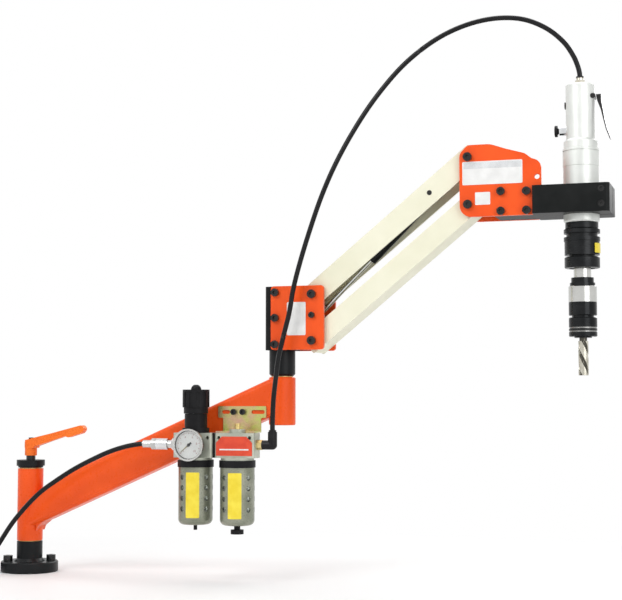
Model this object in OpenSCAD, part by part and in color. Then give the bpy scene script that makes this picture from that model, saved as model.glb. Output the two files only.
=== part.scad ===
// Arm tapping machine: a bench-mounted, air-driven tapping head carried by a
// swivelling cast arm and a parallel-link arm that a gas strut holds up.
// Millimetres. +Z is up, +X runs along the arm, -Y is the operator's side.
// The origin is the centre of the base flange, on the bench top.

/* [Base] */
// Diameter of the base flange
flange_d = 98; // [90:1:120]
// Thickness of the base flange
flange_t = 18; // [14:1:24]
// Diameter of the post that stands on the flange, and of the column above it
column_d = 44; // [42:1:52]
// Height of the post above the flange
post_h = 34; // [26:1:50]
// Diameter of the spindle that the column turns on
spindle_d = 28; // [24:1:30]
// Diameter of the circle that the base bolts lie on
bolt_circle_d = 73; // [70:1:76]
// Angle of the fitted pair of base bolts, from the X axis
bolt_turn = 28; // [0:1:90]
// Reach of the base bolts below the bench top
bolt_reach = 22; // [10:1:40]

/* [Column and clamp] */
// Height of the column tube
column_h = 123; // [110:1:150]
// Diameter of the clamp cap on top of the column
cap_d = 48.5; // [46:0.5:60]
// Height of the clamp cap's wide upper step
cap_h = 10; // [8:1:14]
// Diameter of the clamp lever's hub
hub_d = 21; // [19:0.5:26]
// Height of the clamp lever's hub
hub_h = 27; // [24:1:34]
// Reach of the clamp lever from the column's axis
lever_reach = 106; // [90:1:130]
// Rise of the clamp lever's underside over its reach
lever_rise = 26; // [18:1:36]
// Lift that frees the clamp lever from its splines
lever_lift = 4; // [2:0.5:5]

/* [Lower arm] */
// Distance from the column's axis to the elbow's axis
arm_reach = 461.5; // [440:1:520]
// Height of the arm's centre line at the column's axis
arm_foot_z = 104; // [100:1:112]
// Rise of the arm's centre line over its reach
arm_rise = 202; // [180:1:206]
// Depth of the arm's section
arm_h = 58; // [50:1:60]
// Width of the arm's section
arm_w = 42; // [36:1:42]
// Radius along the arm's long edges
arm_round = 9; // [5:1:16]
// Diameter of the elbow tube at the arm's end
tube_d = 44; // [42:1:50]
// Length of elbow tube under the arm's end
tube_drop = 23; // [18:1:31]

/* [Knuckle] */
// Diameter of the swivel shaft
shaft_d = 25; // [20:1:26]
// Diameter of the collar under the knuckle
collar_d = 43; // [40:1:50]
// Height of the collar under the knuckle
collar_h = 42; // [36:1:60]
// Height of the knuckle's side plates
knuckle_h = 104; // [100:1:120]
// Width of the knuckle's side plates
knuckle_w = 90; // [88:1:100]
// Distance from the elbow's axis to the link pivots
pivot_reach = 62.5; // [60:0.5:70]
// Thickness of every side plate
plate_t = 6; // [5:0.5:8]
// Clear width between the side plates
plate_gap = 60; // [58:1:66]

/* [Links and strut] */
// Length of the parallel links between their pivots
link_l = 333; // [300:1:360]
// Vertical distance between the two link pivots
link_spread = 75.5; // [74:0.5:80]
// Angle of the links above level as the arm stands
link_angle = 39.3; // [34:0.1:41]
// Outer width of the link channels
channel_w = 54; // [50:1:54]
// Depth of the upper channel
upper_channel_h = 36; // [34:1:38]
// Depth of the lower channel
lower_channel_h = 33; // [30:1:36]
// Wall of the channels
channel_wall = 3; // [2:0.5:4]
// Diameter of the gas strut's cylinder
strut_d = 18; // [15:1:20]
// Diameter of the gas strut's rod
strut_rod_d = 8; // [6:1:9]
// Distance from the upper link's lower pivot to the strut's pin along the link
strut_pin_reach = 250; // [235:1:265]
// Distance from the upper link's lower pivot down to the strut's lower pin
strut_pin_drop = 34; // [32:1:36]
// Length of the gas strut's cylinder
strut_cylinder_l = 134; // [120:1:140]

/* [Head] */
// Length of the head's side plates
head_plate_l = 129; // [124:1:140]
// Height of the head's side plates
head_plate_h = 114; // [110:1:124]
// Distance from the head's pivots to the motor's axis
motor_reach = 172.5; // [168:0.5:190]
// Width of the motor clamp block
block_w = 90; // [86:1:96]
// Height of the motor clamp block
block_h = 44; // [40:1:50]
// Length of the motor clamp block
block_l = 118; // [112:1:124]
// Diameter of the motor housing
motor_d = 55.5; // [50:0.5:57]
// Diameter of the motor's slim upper part
motor_neck_d = 45; // [42:0.5:48]
// Height of the motor's slim upper part
motor_neck_h = 87; // [84:1:100]
// Height of the motor housing above the clamp block
motor_above = 75; // [70:1:90]
// Length of motor housing that shows under the clamp block
motor_below = 12; // [10:1:20]

/* [Chuck and tap] */
// Diameter of the chuck's rings
chuck_d = 56; // [52:0.5:60]
// Length of the chuck
chuck_h = 71; // [70:1:80]
// Diameter of the tap adapter
adapter_d = 43.5; // [40:0.5:46]
// Diameter of the adapter's shank
adapter_shank_d = 27; // [24:1:30]
// Diameter of the tap's threads
tap_d = 15.6; // [10:0.2:16]
// Length of tap that shows
tap_l = 58; // [50:1:80]

/* [Air unit] */
// Distance from the elbow's axis back to the first unit's axis
unit_back = 129.5; // [127.5:0.5:137.5]
// Distance between the two units
unit_pitch = 72.5; // [70:0.5:75]
// Distance of the units' axes in front of the arm's middle
unit_y = 58; // [56:1:62]
// Height of the units' bodies above the bench, at their lower face
unit_z = 202; // [198:1:208]
// Height of the units' bodies
unit_h = 40; // [38:1:42]
// Width of the units' bodies
unit_w = 68; // [64:1:69]
// Diameter of the bowl guards
guard_d = 56; // [50:1:60]
// Length of the bowl guards
guard_h = 97; // [90:1:104]
// Diameter of the pressure gauge
gauge_d = 52; // [44:1:54]
// Diameter of the regulator knob
knob_d = 44; // [40:1:48]
// Diameter of both air hoses
hose_d = 8; // [6:0.5:9]

/* [Hidden] */
$fn = 72;

// Overrun of every cut past the face that it opens
over = 1;
// Gap between faces of pieces that move past each other
run = 0.3;
// Radial clearance of a shaft that turns in its bush
fit = 0.08;
// Clearance of a piece set in its seat
seat = 0.05;

// Base bolts: thread, clearance hole, head and its hexagon socket
bolt_d = 10;
bolt_shank_d = 10.5;
bolt_hole_d = 11;
bolt_head_d = 16;
bolt_head_h = 10;
bolt_hex = 8;
bolt_hex_deep = 6;
base_hole_count = 4;
// Turned foot fillet of the post
foot_r = 5;
flange_edge = 1.5;
bush_flange_t = 1.5;
bush_wall = 2.5;
bush_l = 22;
post_top_z = flange_t + post_h;
column_low_z = post_top_z + run + bush_flange_t;
column_top_z = column_low_z + column_h;
cap_low_z = column_top_z + bush_flange_t + run;
cap_step_h = 3;
cap_step_in = 0.5;
cap_step_d = column_d - 2 * cap_step_in;
cap_recess = 2;
cap_top_z = cap_low_z + cap_step_h + cap_h;
spindle_top_z = cap_low_z + cap_recess - run;
spindle_hole_deep = 34;
// Clamp stud and the collar that it presses the cap with
stud_d = 12;
stud_collar_d = 16;
stud_collar_h = 7;
hub_low_z = cap_top_z + run + stud_collar_h + run;
hub_top_z = hub_low_z + hub_h;
spline_d = 13;
spline_h = 12;
screw_head_d = 8.5;
screw_head_h = 7;
screw_head_proud = 4;
screw_shank_d = 5;
screw_shank_h = 9;
lever_t = 13;
lever_root_h = 11;
lever_grip_h = 14;
lever_grip_share = 0.30;
lever_hub_slope = 5;
lever_swell = 1;
lever_edge_r = 3;
lever_hub_r = 9;
lever_root_r = 5;
lever_waist_r = 30;
lever_waist_share = 0.4;

// Lower arm
arm_slope = atan2(arm_rise, arm_reach);
arm_l = norm([arm_reach, arm_rise]);
arm_end_z = arm_foot_z + arm_rise;
tube_inset = 2;
tube_low_z = arm_end_z - arm_h / 2 - tube_drop;
tube_top_z = arm_end_z + arm_h / 2 - tube_inset;
arm_bend_in = 15;
arm_bend_r = 88;
arm_fillet_r = 14;
arm_fillet_w = 32;
arm_fillet_sink = 2;
column_bush_d = spindle_d + 2 * fit + 2 * bush_wall;
tube_bush_d = shaft_d + 2 * fit + 2 * bush_wall;
tube_recess = 10;
tube_edge = 1.5;
bush_lip = 4;

// Knuckle: heights of its plates and pivots
collar_low_z = tube_top_z + bush_flange_t + run;
plate_low_z = collar_low_z + collar_h;
knuckle_top_z = plate_low_z + knuckle_h;
pivot_x = arm_reach + pivot_reach;
lower_pivot_up = 14.5;
lower_pivot_z = plate_low_z + lower_pivot_up;
upper_pivot_z = lower_pivot_z + link_spread;
strut_foot_z = upper_pivot_z - strut_pin_drop;
knuckle_block_l = 43;
knuckle_block_round = 9;
knuckle_plate_back = 8;
knuckle_plate_x = arm_reach - knuckle_plate_back;
knuckle_round = 5;
plate_outer = plate_gap / 2 + plate_t;
// Socket screws that hold the plates and pivots
side_screw_d = 8;
side_head_d = 13;
side_head_h = 6;
side_hex = 6;
side_hex_deep = 3.5;
side_screw_l = 20;
pin_d = 12;
pin_head_d = 14;
small_pin_d = 8;
small_head_d = 10;
small_head_h = 5;
small_hex = 5;
screw_row_shares = [0.085, 0.5, 0.90];
retainer_d = 30;
retainer_t = 4;
retainer_screw_d = 8;
retainer_screw_l = 16;
retainer_hex_h = 5;

// Links: far pivots, channel ends and strut line
link_dx = link_l * cos(link_angle);
link_dz = link_l * sin(link_angle);
head_pivot_x = pivot_x + link_dx;
head_low_pivot_z = lower_pivot_z + link_dz;
head_up_pivot_z = upper_pivot_z + link_dz;
channel_end = 13;
channel_round = 3;
bush_clear = (plate_gap - channel_w) / 2 - run;
link_bush_wall = 3;
link_bush_d = pin_d + 2 * fit + 2 * link_bush_wall;
strut_pin_x = pivot_x + strut_pin_reach * cos(link_angle);
strut_pin_z = upper_pivot_z + strut_pin_reach * sin(link_angle);
strut_dx = strut_pin_x - pivot_x;
strut_dz = strut_pin_z - strut_foot_z;
strut_l = norm([strut_dx, strut_dz]);
strut_angle = atan2(strut_dz, strut_dx);
strut_eye_d = 20;
strut_eye_t = 10;
strut_neck_d = 9;
strut_foot_hole_d = 14.4;
strut_tail = 12;
strut_wall = 2;
strut_piston_d = strut_d - 2 * strut_wall - 2 * fit;
strut_piston_h = 8;
strut_piston_in = 30;
strut_gland_h = 6;

// Head: plates, block and motor
head_pivot_in = 13.5;
head_pivot_up = 19.5;
head_left_x = head_pivot_x - head_pivot_in;
head_low_z = head_low_pivot_z - head_pivot_up;
head_ear_hole_d = 8;
motor_x = head_pivot_x + motor_reach;
block_up = 0.5;
block_back = 70.5;
block_low_z = head_low_z + block_up;
block_top_z = block_low_z + block_h;
block_left_x = motor_x - block_back;
block_right_x = block_left_x + block_l;
block_slit = 3;
block_edge = 2;
tongue_l = 62;
clamp_screw_in = 12.5;
clamp_screw_x = block_right_x - clamp_screw_in;
clamp_screw_d = 6;
clamp_head_d = 10;
clamp_head_h = 6;
clamp_row_shares = [0.27, 0.80];
motor_low_z = block_low_z - motor_below;
motor_step_z = block_top_z + motor_above;
motor_top_z = motor_step_z + motor_neck_h;
motor_collar_h = 15;
motor_collar_d = 53;
motor_collar_low_z = motor_step_z - motor_collar_h;
motor_groove = 1;
motor_groove_h = 1.2;
motor_groove_up = 5;
motor_swell_share = 0.42;
motor_edge = 2;
motor_bore_d = 30;
motor_bearing_deep = 20;
drive_d = 20;
inlet_hex = 13;
inlet_hex_h = 7;
inlet_neck_d = 11;
inlet_h = 13;
inlet_clip_h = 2.5;
inlet_clip_d = 12;
inlet_thread_deep = 9;
button_up = 15;
button_z = motor_step_z + button_up;
guide_d = 15.5;
guide_core_d = 11.5;
guide_l = 10;
guide_deep = 8;
button_stem_d = 8;
button_d = 18;
button_t = 4;
button_travel = 2;
button_neck_d = 11;
throttle_out = 21;
throttle_down = 20.5;
plug_screw_down = 11.5;
lever_pivot_x = motor_x + throttle_out;
lever_pivot_z = motor_top_z - throttle_down;
plug_screw_z = lever_pivot_z - plug_screw_down;
throttle_w = 12;
throttle_screw_h = 2;
throttle_root_t = 8;
throttle_boss_d = 8;
throttle_pin_d = 3;
throttle_screw_d = 8;
throttle_kick = 26;
throttle_drop = 71;
throttle_up = 3;
// Throttle's outer line from the top: shares of its kick, of its drop and of the root's thickness
throttle_shares = [
    [0.46, 0, 1], [0.47, 0.155, 0.75], [0.56, 0.34, 0.42], [0.65, 0.565, 0.26], [0.79, 0.79, 0.22], [1, 1, 0.2]
];
// Plug screw on the motor's left side
plug_screw_d = 12;
plug_screw_proud = 1.5;
plug_screw_deep = 4;
ear_t = 3;

// Chuck and tap
chuck_top_z = motor_low_z - run;
chuck_low_z = chuck_top_z - chuck_h;
chuck_neck_d = 51;
chuck_neck_h = 9;
chuck_core_d = 48;
chuck_band = 6;
chuck_edge = 1;
sleeve_h = 17;
sleeve_gap = 3;
sleeve_d = 54.5;
chuck_stub_d = 40;
adapter_neck_gap = 15;
adapter_flange_z = chuck_low_z - adapter_neck_gap;
adapter_in = 38;
adapter_neck_d = 35;
adapter_neck_h = 8;
adapter_step_d = 39;
adapter_step_h = 5;
adapter_body_h = 46;
adapter_collar_h = 29.5;
adapter_gap = 3;
collar_groove_up = 7;
collar_groove_w = 2;
collar_groove_pitch = 5.5;
adapter_spout_d = 27;
adapter_spout_h = 2;
adapter_core_d = 34;
adapter_body_low_z = adapter_flange_z - adapter_neck_h - adapter_step_h - adapter_body_h;
adapter_collar_low_z = adapter_body_low_z - adapter_gap - adapter_collar_h;
adapter_low_z = adapter_collar_low_z - adapter_spout_h;
tap_top_z = adapter_low_z;
tap_shank_d = 12;
tap_neck_l = 5;
tap_in = 20;
tap_flutes = 3;
tap_twist = 200;

// Air unit
unit_x = arm_reach - unit_back;
unit_depth = 32;
unit_top_z = unit_z + unit_h;
unit_edge = 4;
unit_boss_d = 54;
unit_boss_h = 4;
unit_spigot_d = 50;
corner_hole_d = 6;
corner_hole_in = 7.7;
corner_hole_deep = 12;
lube_x = unit_x + unit_pitch;
spacer_gap = unit_pitch - unit_w;
bowl_ring_d = 59;
bowl_ring_h = 11.4;
bowl_ring_top_z = unit_z - unit_boss_h;
bowl_ring_low_z = bowl_ring_top_z - bowl_ring_h;
guard_wall = 1.5;
guard_lap = 4;
guard_top_z = bowl_ring_low_z + guard_lap;
guard_low_z = guard_top_z - guard_h;
guard_bottom_r = 9;
guard_hole_d = 8.5;
guard_rows = 4;
guard_row_pitch = 17;
guard_first_row = 26;
guard_columns = 8;
bowl_gap = 1;
bowl_wall = 2.5;
bowl_low_gap = 2;
bowl_round = 3;
drain_hole_d = 12;
nipple_d = 6;
nipple_l = 9;
drain_knob_d = 21;
drain_knob_h = 7;
drain_neck_h = 7;
drain_stem_d = 10;
bonnet_h = 23;
bonnet_flange_h = 8;
bonnet_neck_d = 37;
bonnet_top_h = 15;
spindle_stem_d = 12;
spindle_hub_d = 24;
knob_low_z = unit_top_z + bonnet_flange_h + bonnet_h + run;
knob_step_d = 40;
knob_step_h = 11;
knob_h = 39;
knob_dome_d = 17;
knob_dome_h = 8;
knob_ribs = 12;
knob_rib_deep = 1.2;
knob_rib_w = 5;
knob_wall = 4;
port_up = 21;
gauge_right = 2;
gauge_out = 40;
gauge_x = unit_x + gauge_right;
gauge_z = unit_z + port_up;
gauge_t = 10;
gauge_wall = 1.5;
gauge_rim_t = 5;
gauge_front_y = -(unit_y + gauge_out);
gauge_stem_d = 12;
gauge_lens_t = 1.5;
gauge_dial_deep = 5;
needle_hub_d = 5;
needle_t = 0.8;
needle_w = 1.6;
needle_tail_share = 0.28;
needle_angle = 220;
needle_pin_d = 1.6;
dome_d = 26;
dome_h = 6;
oil_screw_d = 9;
oil_screw_h = 9;
oil_stem_d = 6;
port_z = unit_z + port_up;
port_hex = 17;
port_hex_l = 7;
port_thread_d = 13;
port_deep = 8;
coupling_d = 18.5;
coupling_l = 36;
coupling_core_d = 13;
coupling_sleeve_l = 20;
coupling_nut_d = 12.5;
coupling_nut_l = 16;
coupling_step_l = 8;
elbow_hex = 14;
elbow_hex_l = 9;
elbow_d = 15;
elbow_arm_l = 24.5;
elbow_rise = 24;
elbow_ring_d = 12;
elbow_ring_h = 3;
elbow_x = lube_x + unit_w / 2 + elbow_hex_l + elbow_arm_l - elbow_d / 2;
elbow_top_z = port_z + elbow_rise;
hose_in = 8;

// Bracket that carries the air unit on the arm
bracket_t = 2.5;
bracket_back = 5;
bracket_x = lube_x - bracket_back;
bracket_ear_w = 84;
bracket_ear_h = 19;
bracket_w = 66;
bracket_low_z = unit_top_z + 4 * seat;
bracket_h = 43;
bracket_r = 2;
bracket_slot_w = 6.4;
bracket_slot_l = 23;
bracket_short_slot_l = 14;
bracket_slot_in = 14;
bracket_screw_z = bracket_low_z + bracket_h - bracket_ear_h / 2;
bracket_screw_pitch = 16;
bracket_screw_back = 6;
bracket_screw_x = bracket_x - bracket_screw_back;
bracket_screw_d = 6;
bracket_head_d = 10;
bracket_head_h = 5;
bracket_screw_l = 14;

// Routes of the two air hoses, chosen by hand, from their fittings outwards
supply_route = [
    [246, -58, 223], [232, -58, 222.6], [208, -58, 218.5], [179, -58, 210], [149, -58, 197.5], [114, -58, 180.5],
    [82, -58, 161.5], [50, -58, 140], [22, -58, 114], [-3, -58, 86], [-25, -59, 54], [-43, -60, 28],
    [-63, -60, 11], [-86, -59, 4.8], [-108, -58, 4.2], [-130, -57.5, 4.2]
];
delivery_route = [
    [464.5, -58, 239.5], [464.5, -58, 262], [466, -58, 296], [470, -58, 331], [475, -58, 366],
    [483, -57, 400], [492, -56, 436], [499, -55.5, 476], [511, -54, 522], [527, -52.5, 573],
    [545, -50.5, 624], [567, -48, 674], [595, -44.5, 725], [628.5, -39.5, 776], [668, -34, 823.5],
    [705, -29, 856], [744, -23.5, 880.5], [786, -17.5, 896.5], [828, -11.5, 903], [868, -6, 899],
    [903, -1.5, 883], [929, 0, 860], [944, 0, 837], [951.5, 0, 818], [954.2, 0, 804], [954.2, 0, 794.7]
];
hose_sides = 10;
hose_rings = 2;
supply_rings = 24;
// Points of the delivery hose's route where it passes from one stretch to the next
arch_start = 5;
drop_start = 15;

// Coil of spare supply hose on the bench, left of the base
coil_x = -130;
coil_y = -4.5;
coil_lift = 4.2;
coil_turns = 4.25;
coil_pitch = 8.8;
coil_climb = 9;
coil_outer_r = 53;
coil_roll_share = 0.25;
coil_sides = 6;
coil_rings = 24;
plug_d = 12;
plug_l = 26;
plug_nose_d = 8;
plug_nose_l = 18;
plug_groove_d = 6;
plug_groove_in = 7;
plug_groove_w = 4;

// Point on a circle of radius r about c
function ring_point(c, r, a) = [c[0] + r * cos(a), c[1] + r * sin(a)];

// Outline of points [x, y, radius], with each corner rounded to its radius
function corner_arc(p, q, s, steps) =
    let (u = unit_of([p[0] - q[0], p[1] - q[1]]), v = unit_of([s[0] - q[0], s[1] - q[1]]),
         half = acos(max(-1, min(1, u * v))) / 2, mid = unit_of(u + v), r = q[2],
         c = [q[0], q[1]] + mid * (r / sin(half)), start = [q[0], q[1]] + u * (r / tan(half)) - c,
         stop = [q[0], q[1]] + v * (r / tan(half)) - c, a = atan2(start[1], start[0]),
         b = atan2(stop[1], stop[0]), turn = (b - a + 540) % 360 - 180)
    [for (i = [0:steps]) ring_point(c, r, a + turn * i / steps)];
function rounded(points, steps = 6) =
    [for (i = [0:len(points) - 1])
        let (q = points[i], p = points[(i + len(points) - 1) % len(points)], s = points[(i + 1) % len(points)])
        each (q[2] > 0 ? corner_arc(p, q, s, steps) : [[q[0], q[1]]])];
function unit_of(v) = v / norm(v);

// Smooth curve through a route: position at t, from 0 to 1
function spline(points, t) =
    let (n = len(points) - 1, s = min(t * n, n - 0.0001), i = floor(s), f = s - i,
         a = points[max(i - 1, 0)], b = points[i], c = points[i + 1], d = points[min(i + 2, n)])
    0.5 * (2 * b + (c - a) * f + (2 * a - 5 * b + 4 * c - d) * f * f + (3 * b - a - 3 * c + d) * f * f * f);

// Tube of radius r along points a to b of a path; its rings stand square to the whole path
function flow(points, i) = unit_of(points[min(i + 1, len(points) - 1)] - points[max(i - 1, 0)]);
function side_of(t, up) = unit_of(cross(up, t));
module tube_along(points, a, b, r, sides, up) {
    n = b - a + 1;
    rings = [for (i = [a:b])
        let (t = flow(points, i), u = side_of(t, up), v = cross(t, u))
        for (k = [0:sides - 1]) points[i] + r * (cos(360 * k / sides) * u + sin(360 * k / sides) * v)];
    wall = [for (i = [0:n - 2]) for (k = [0:sides - 1])
        let (p = i * sides + k, q = i * sides + (k + 1) % sides)
        each [[p, p + sides, q], [q, p + sides, q + sides]]];
    start = [for (k = [1:sides - 2]) [0, k, k + 1]];
    stop = [for (k = [1:sides - 2]) [(n - 1) * sides, (n - 1) * sides + k + 1, (n - 1) * sides + k]];
    polyhedron(rings, concat(wall, start, stop), convexity = 6);
}
function samples(route, rings) = [for (i = [0:rings]) spline(route, i / rings)];
// Stretch of air hose from ring a to ring b of its path
module hose(path, a, b) color("#1c1f20") tube_along(path, a, b, hose_d / 2, hose_sides, [0, 1, 0]);

// Places on the motor's axis, the elbow's axis, and the axis of an air unit at x
module at_motor() translate([motor_x, 0, 0]) children();
module at_elbow() translate([arm_reach, 0, 0]) children();
module at_unit(x, z = 0) translate([x, -unit_y, z]) children();
// The same piece at the rear and, mirrored, at the front
module both_sides() for (side = [0, 1]) mirror([0, side, 0]) children();
// Rod from z a up to z b
module rod(d, a, b) translate([0, 0, a]) cylinder(d = d, h = b - a);
// Rod along +Y from y a to y b, at x and z
module cross_rod(d, x, z, a, b) translate([x, a, z]) rotate([-90, 0, 0]) cylinder(d = d, h = b - a);
// Rod along +X from x a to x b, at y and z
module long_rod(d, a, b, y, z) translate([a, y, z]) rotate([0, 90, 0]) cylinder(d = d, h = b - a);
// Turned part from points [radius, z]
module turned(points) rotate_extrude() polygon(points);
// Cap screw: the head's seat lies at the origin and the shank runs down -Z
module cap_screw(d, l, head_d, head_h, hex, hex_deep) {
    difference() {
        union() {
            cylinder(d = head_d, h = head_h);
            translate([0, 0, -l]) cylinder(d = d, h = l);
        }
        translate([0, 0, head_h - hex_deep]) cylinder(d = hex / cos(30), h = hex_deep + over, $fn = 6);
    }
}
// The same screw with its seat on a plate's outer face: side -1 is the front, 1 the rear
module side_screw(x, z, side, seat_y, d, l, head_d, head_h, hex, hex_deep)
    translate([x, side * seat_y, z]) rotate([-90 * side, 0, 0]) cap_screw(d, l, head_d, head_h, hex, hex_deep);
// Flat plate in the XZ plane from its outline, between y a and y b
module upright(points, a, b) translate([0, b, 0]) rotate([90, 0, 0]) linear_extrude(b - a) polygon(points);
// Rectangle with round corners, centred
module round_rect(w, h, r) {
    square([w - 2 * r, h], center = true);
    square([w, h - 2 * r], center = true);
    for (i = [-1, 1]) for (k = [-1, 1]) translate([i * (w / 2 - r), k * (h / 2 - r)]) circle(r);
}

// Base: flange, post and spindle, turned in one
module base_flange() color("#202223") difference() {
    turned([
        [0, 0], [flange_d / 2 - flange_edge, 0], [flange_d / 2, flange_edge],
        [flange_d / 2, flange_t - flange_edge],
        [flange_d / 2 - flange_edge, flange_t], [column_d / 2 + foot_r, flange_t],
        [column_d / 2, flange_t + foot_r],
        [column_d / 2, post_top_z], [spindle_d / 2, post_top_z], [spindle_d / 2, spindle_top_z],
        [0, spindle_top_z]
    ]);
    for (i = [0:base_hole_count - 1]) rotate(bolt_turn + i * 360 / base_hole_count)
        translate([bolt_circle_d / 2, 0, 0]) rod(bolt_hole_d, -over, flange_t + over);
    rod(stud_d + 2 * run, spindle_top_z - spindle_hole_deep, spindle_top_z + over);
}
module base_bolts() color("#26282a") for (i = [0, 1]) rotate(bolt_turn + 180 * i)
    translate([bolt_circle_d / 2, 0, flange_t]) {
        cap_screw(bolt_d, flange_t + bolt_reach, bolt_head_d, bolt_head_h, bolt_hex, bolt_hex_deep);
        rod(bolt_shank_d, -flange_t, (bolt_head_h - bolt_hex_deep) / 2);
    }

// Clamp cap: it covers the spindle's end and the column's upper bush
module clamp_cap() color("#1f2122") difference() {
    union() {
        rod(cap_step_d, cap_low_z, cap_low_z + cap_step_h + seat);
        rod(cap_d, cap_low_z + cap_step_h, cap_top_z);
    }
    rod(spindle_d + 2 * run, cap_low_z - over, cap_low_z + cap_recess);
    rod(stud_d + 2 * run, cap_low_z, cap_top_z + over);
}
// Threaded stud with its collar and splined end, and the screw that holds the lever on the splines
module clamp_stud() color("#2a2c2e") {
    difference() {
        union() {
            rod(stud_d, spindle_top_z - spindle_hole_deep + run, cap_top_z + run + stud_collar_h);
            rod(stud_collar_d, cap_top_z + run, cap_top_z + run + stud_collar_h);
            rod(spline_d, cap_top_z + run, hub_low_z + spline_h);
        }
        rod(screw_shank_d + 2 * seat, hub_low_z + spline_h - screw_shank_h + over, hub_low_z + spline_h + over);
    }
    difference() {
        union() {
            rod(screw_head_d, hub_top_z + screw_head_proud - screw_head_h, hub_top_z + screw_head_proud);
            rod(screw_shank_d, hub_low_z + spline_h - screw_shank_h + 2 * over, hub_top_z);
        }
        rod(screw_shank_d / cos(30), hub_top_z + screw_head_proud - lever_t / 4,
            hub_top_z + screw_head_proud + over, $fn = 6);
    }
}
// Cast clamp lever: a hub and a rising arm with a thicker grip
module clamp_lever() color("#f0602a") difference() {
    grip_x = lever_reach * (1 - lever_grip_share);
    waist_x = lever_reach * lever_waist_share;
    waist_y = lever_t / 2 - lever_swell;
    grip_y = lever_t / 2 + lever_swell;
    union() {
        rod(hub_d, hub_low_z, hub_top_z);
        intersection() {
            upright(rounded([
                [-hub_d / 2, hub_low_z + lever_rise / 2, 0],
                [-hub_d / 2, hub_top_z - lever_hub_slope, lever_edge_r],
                [-hub_d / 4, hub_top_z, lever_edge_r],
                [lever_reach - lever_grip_h / 2, hub_top_z + lever_rise, lever_grip_h / 3],
                [lever_reach, hub_top_z + lever_rise - lever_grip_h * 0.45, lever_grip_h / 3],
                [lever_reach - lever_grip_h / 2, hub_top_z + lever_rise - lever_grip_h, lever_edge_r],
                [grip_x, hub_top_z + lever_rise * 0.72 - lever_grip_h, lever_edge_r],
                [grip_x - lever_grip_h / 2, hub_top_z + lever_rise * 0.80 - lever_grip_h, lever_edge_r],
                [hub_d / 2 + lever_swell, hub_top_z - lever_root_h, lever_edge_r],
                [hub_d / 2, hub_low_z + lever_rise / 2, 0]
            ]), -hub_d / 2, hub_d / 2);
            linear_extrude(hub_top_z + lever_rise + over) polygon(rounded([
                [-hub_d / 2, -hub_d / 2, lever_hub_r], [hub_d / 2, -hub_d / 2, lever_root_r],
                [waist_x, -waist_y, lever_waist_r], [lever_reach, -grip_y, lever_root_r],
                [lever_reach, grip_y, lever_root_r], [waist_x, waist_y, lever_waist_r],
                [hub_d / 2, hub_d / 2, lever_root_r], [-hub_d / 2, hub_d / 2, lever_hub_r]
            ]));
        }
    }
    rod(spline_d + 2 * run, hub_low_z - over, hub_low_z + spline_h + lever_lift + run);
    rod(screw_shank_d + 2 * run, hub_low_z, hub_top_z + over);
    rod(screw_head_d + 2 * run, hub_top_z + screw_head_proud - screw_head_h - lever_lift,
        hub_top_z + lever_rise);
}

// Lower arm: column tube, slanted arm and elbow tube, cast in one
module arm_bar() translate([0, 0, arm_foot_z]) rotate([0, 90 - arm_slope, 0])
    translate([0, 0, -arm_h]) linear_extrude(arm_l + arm_h) round_rect(arm_h, arm_w, arm_round);
module arm_outline() {
    top = arm_h / 2 / cos(arm_slope);
    bend_x = column_d / 2 - arm_bend_in;
    centre_x = bend_x + arm_bend_r;
    centre = [centre_x, arm_foot_z + top + centre_x * tan(arm_slope) - arm_bend_r / cos(arm_slope)];
    arc = [for (i = [0:10]) let (a = 180 - (90 - arm_slope) * i / 10) ring_point(centre, arm_bend_r, a)];
    upright(concat(arc, [
        [arm_reach, arm_end_z + top], [arm_reach, arm_end_z - top - over], [bend_x, arm_foot_z - 2 * arm_h]
    ]), -arm_w / 2, arm_w / 2);
}
module arm_fillet() {
    low = arm_foot_z - arm_h / 2 / cos(arm_slope) + column_d / 2 * tan(arm_slope);
    size = arm_fillet_r * tan((90 - arm_slope) / 2);
    slope = [cos(arm_slope), sin(arm_slope)];
    sink = arm_fillet_sink;
    corner = [column_d / 2 - sink, low - sink];
    upright(rounded([
        [corner[0], corner[1] + 2 * sink, 0], [corner[0], corner[1] - size, 0],
        [corner[0] + 1.5 * sink, corner[1] - sink / 2, arm_fillet_r * 0.55],
        [corner[0] + slope[0] * size * 1.6, corner[1] + slope[1] * size * 1.6 + sink / 2, 0]
    ]), -arm_fillet_w / 2, arm_fillet_w / 2);
}
module elbow_tube() turned([
    [0, tube_low_z], [tube_d / 2 - tube_edge, tube_low_z], [tube_d / 2, tube_low_z + tube_edge],
    [tube_d / 2, tube_top_z - tube_edge], [tube_d / 2 - tube_edge, tube_top_z], [0, tube_top_z]
]);
module arm_casting() color("#f0561f") difference() {
    union() {
        rod(column_d, column_low_z, column_top_z);
        at_elbow() elbow_tube();
        intersection() {
            arm_bar();
            arm_outline();
        }
        arm_fillet();
    }
    rod(column_bush_d, column_low_z - over, column_top_z + over);
    at_elbow() rod(tube_bush_d, tube_low_z - over, tube_top_z + over);
    at_elbow() rod(retainer_d + 2 * run, tube_low_z - over, tube_low_z + tube_recess);
    for (i = [-1, 1]) cross_rod(bracket_screw_d + 2 * seat, bracket_screw_x + i * bracket_screw_pitch / 2,
        bracket_screw_z, -arm_w / 2 - over, bracket_screw_l - arm_w / 2);
}
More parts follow.
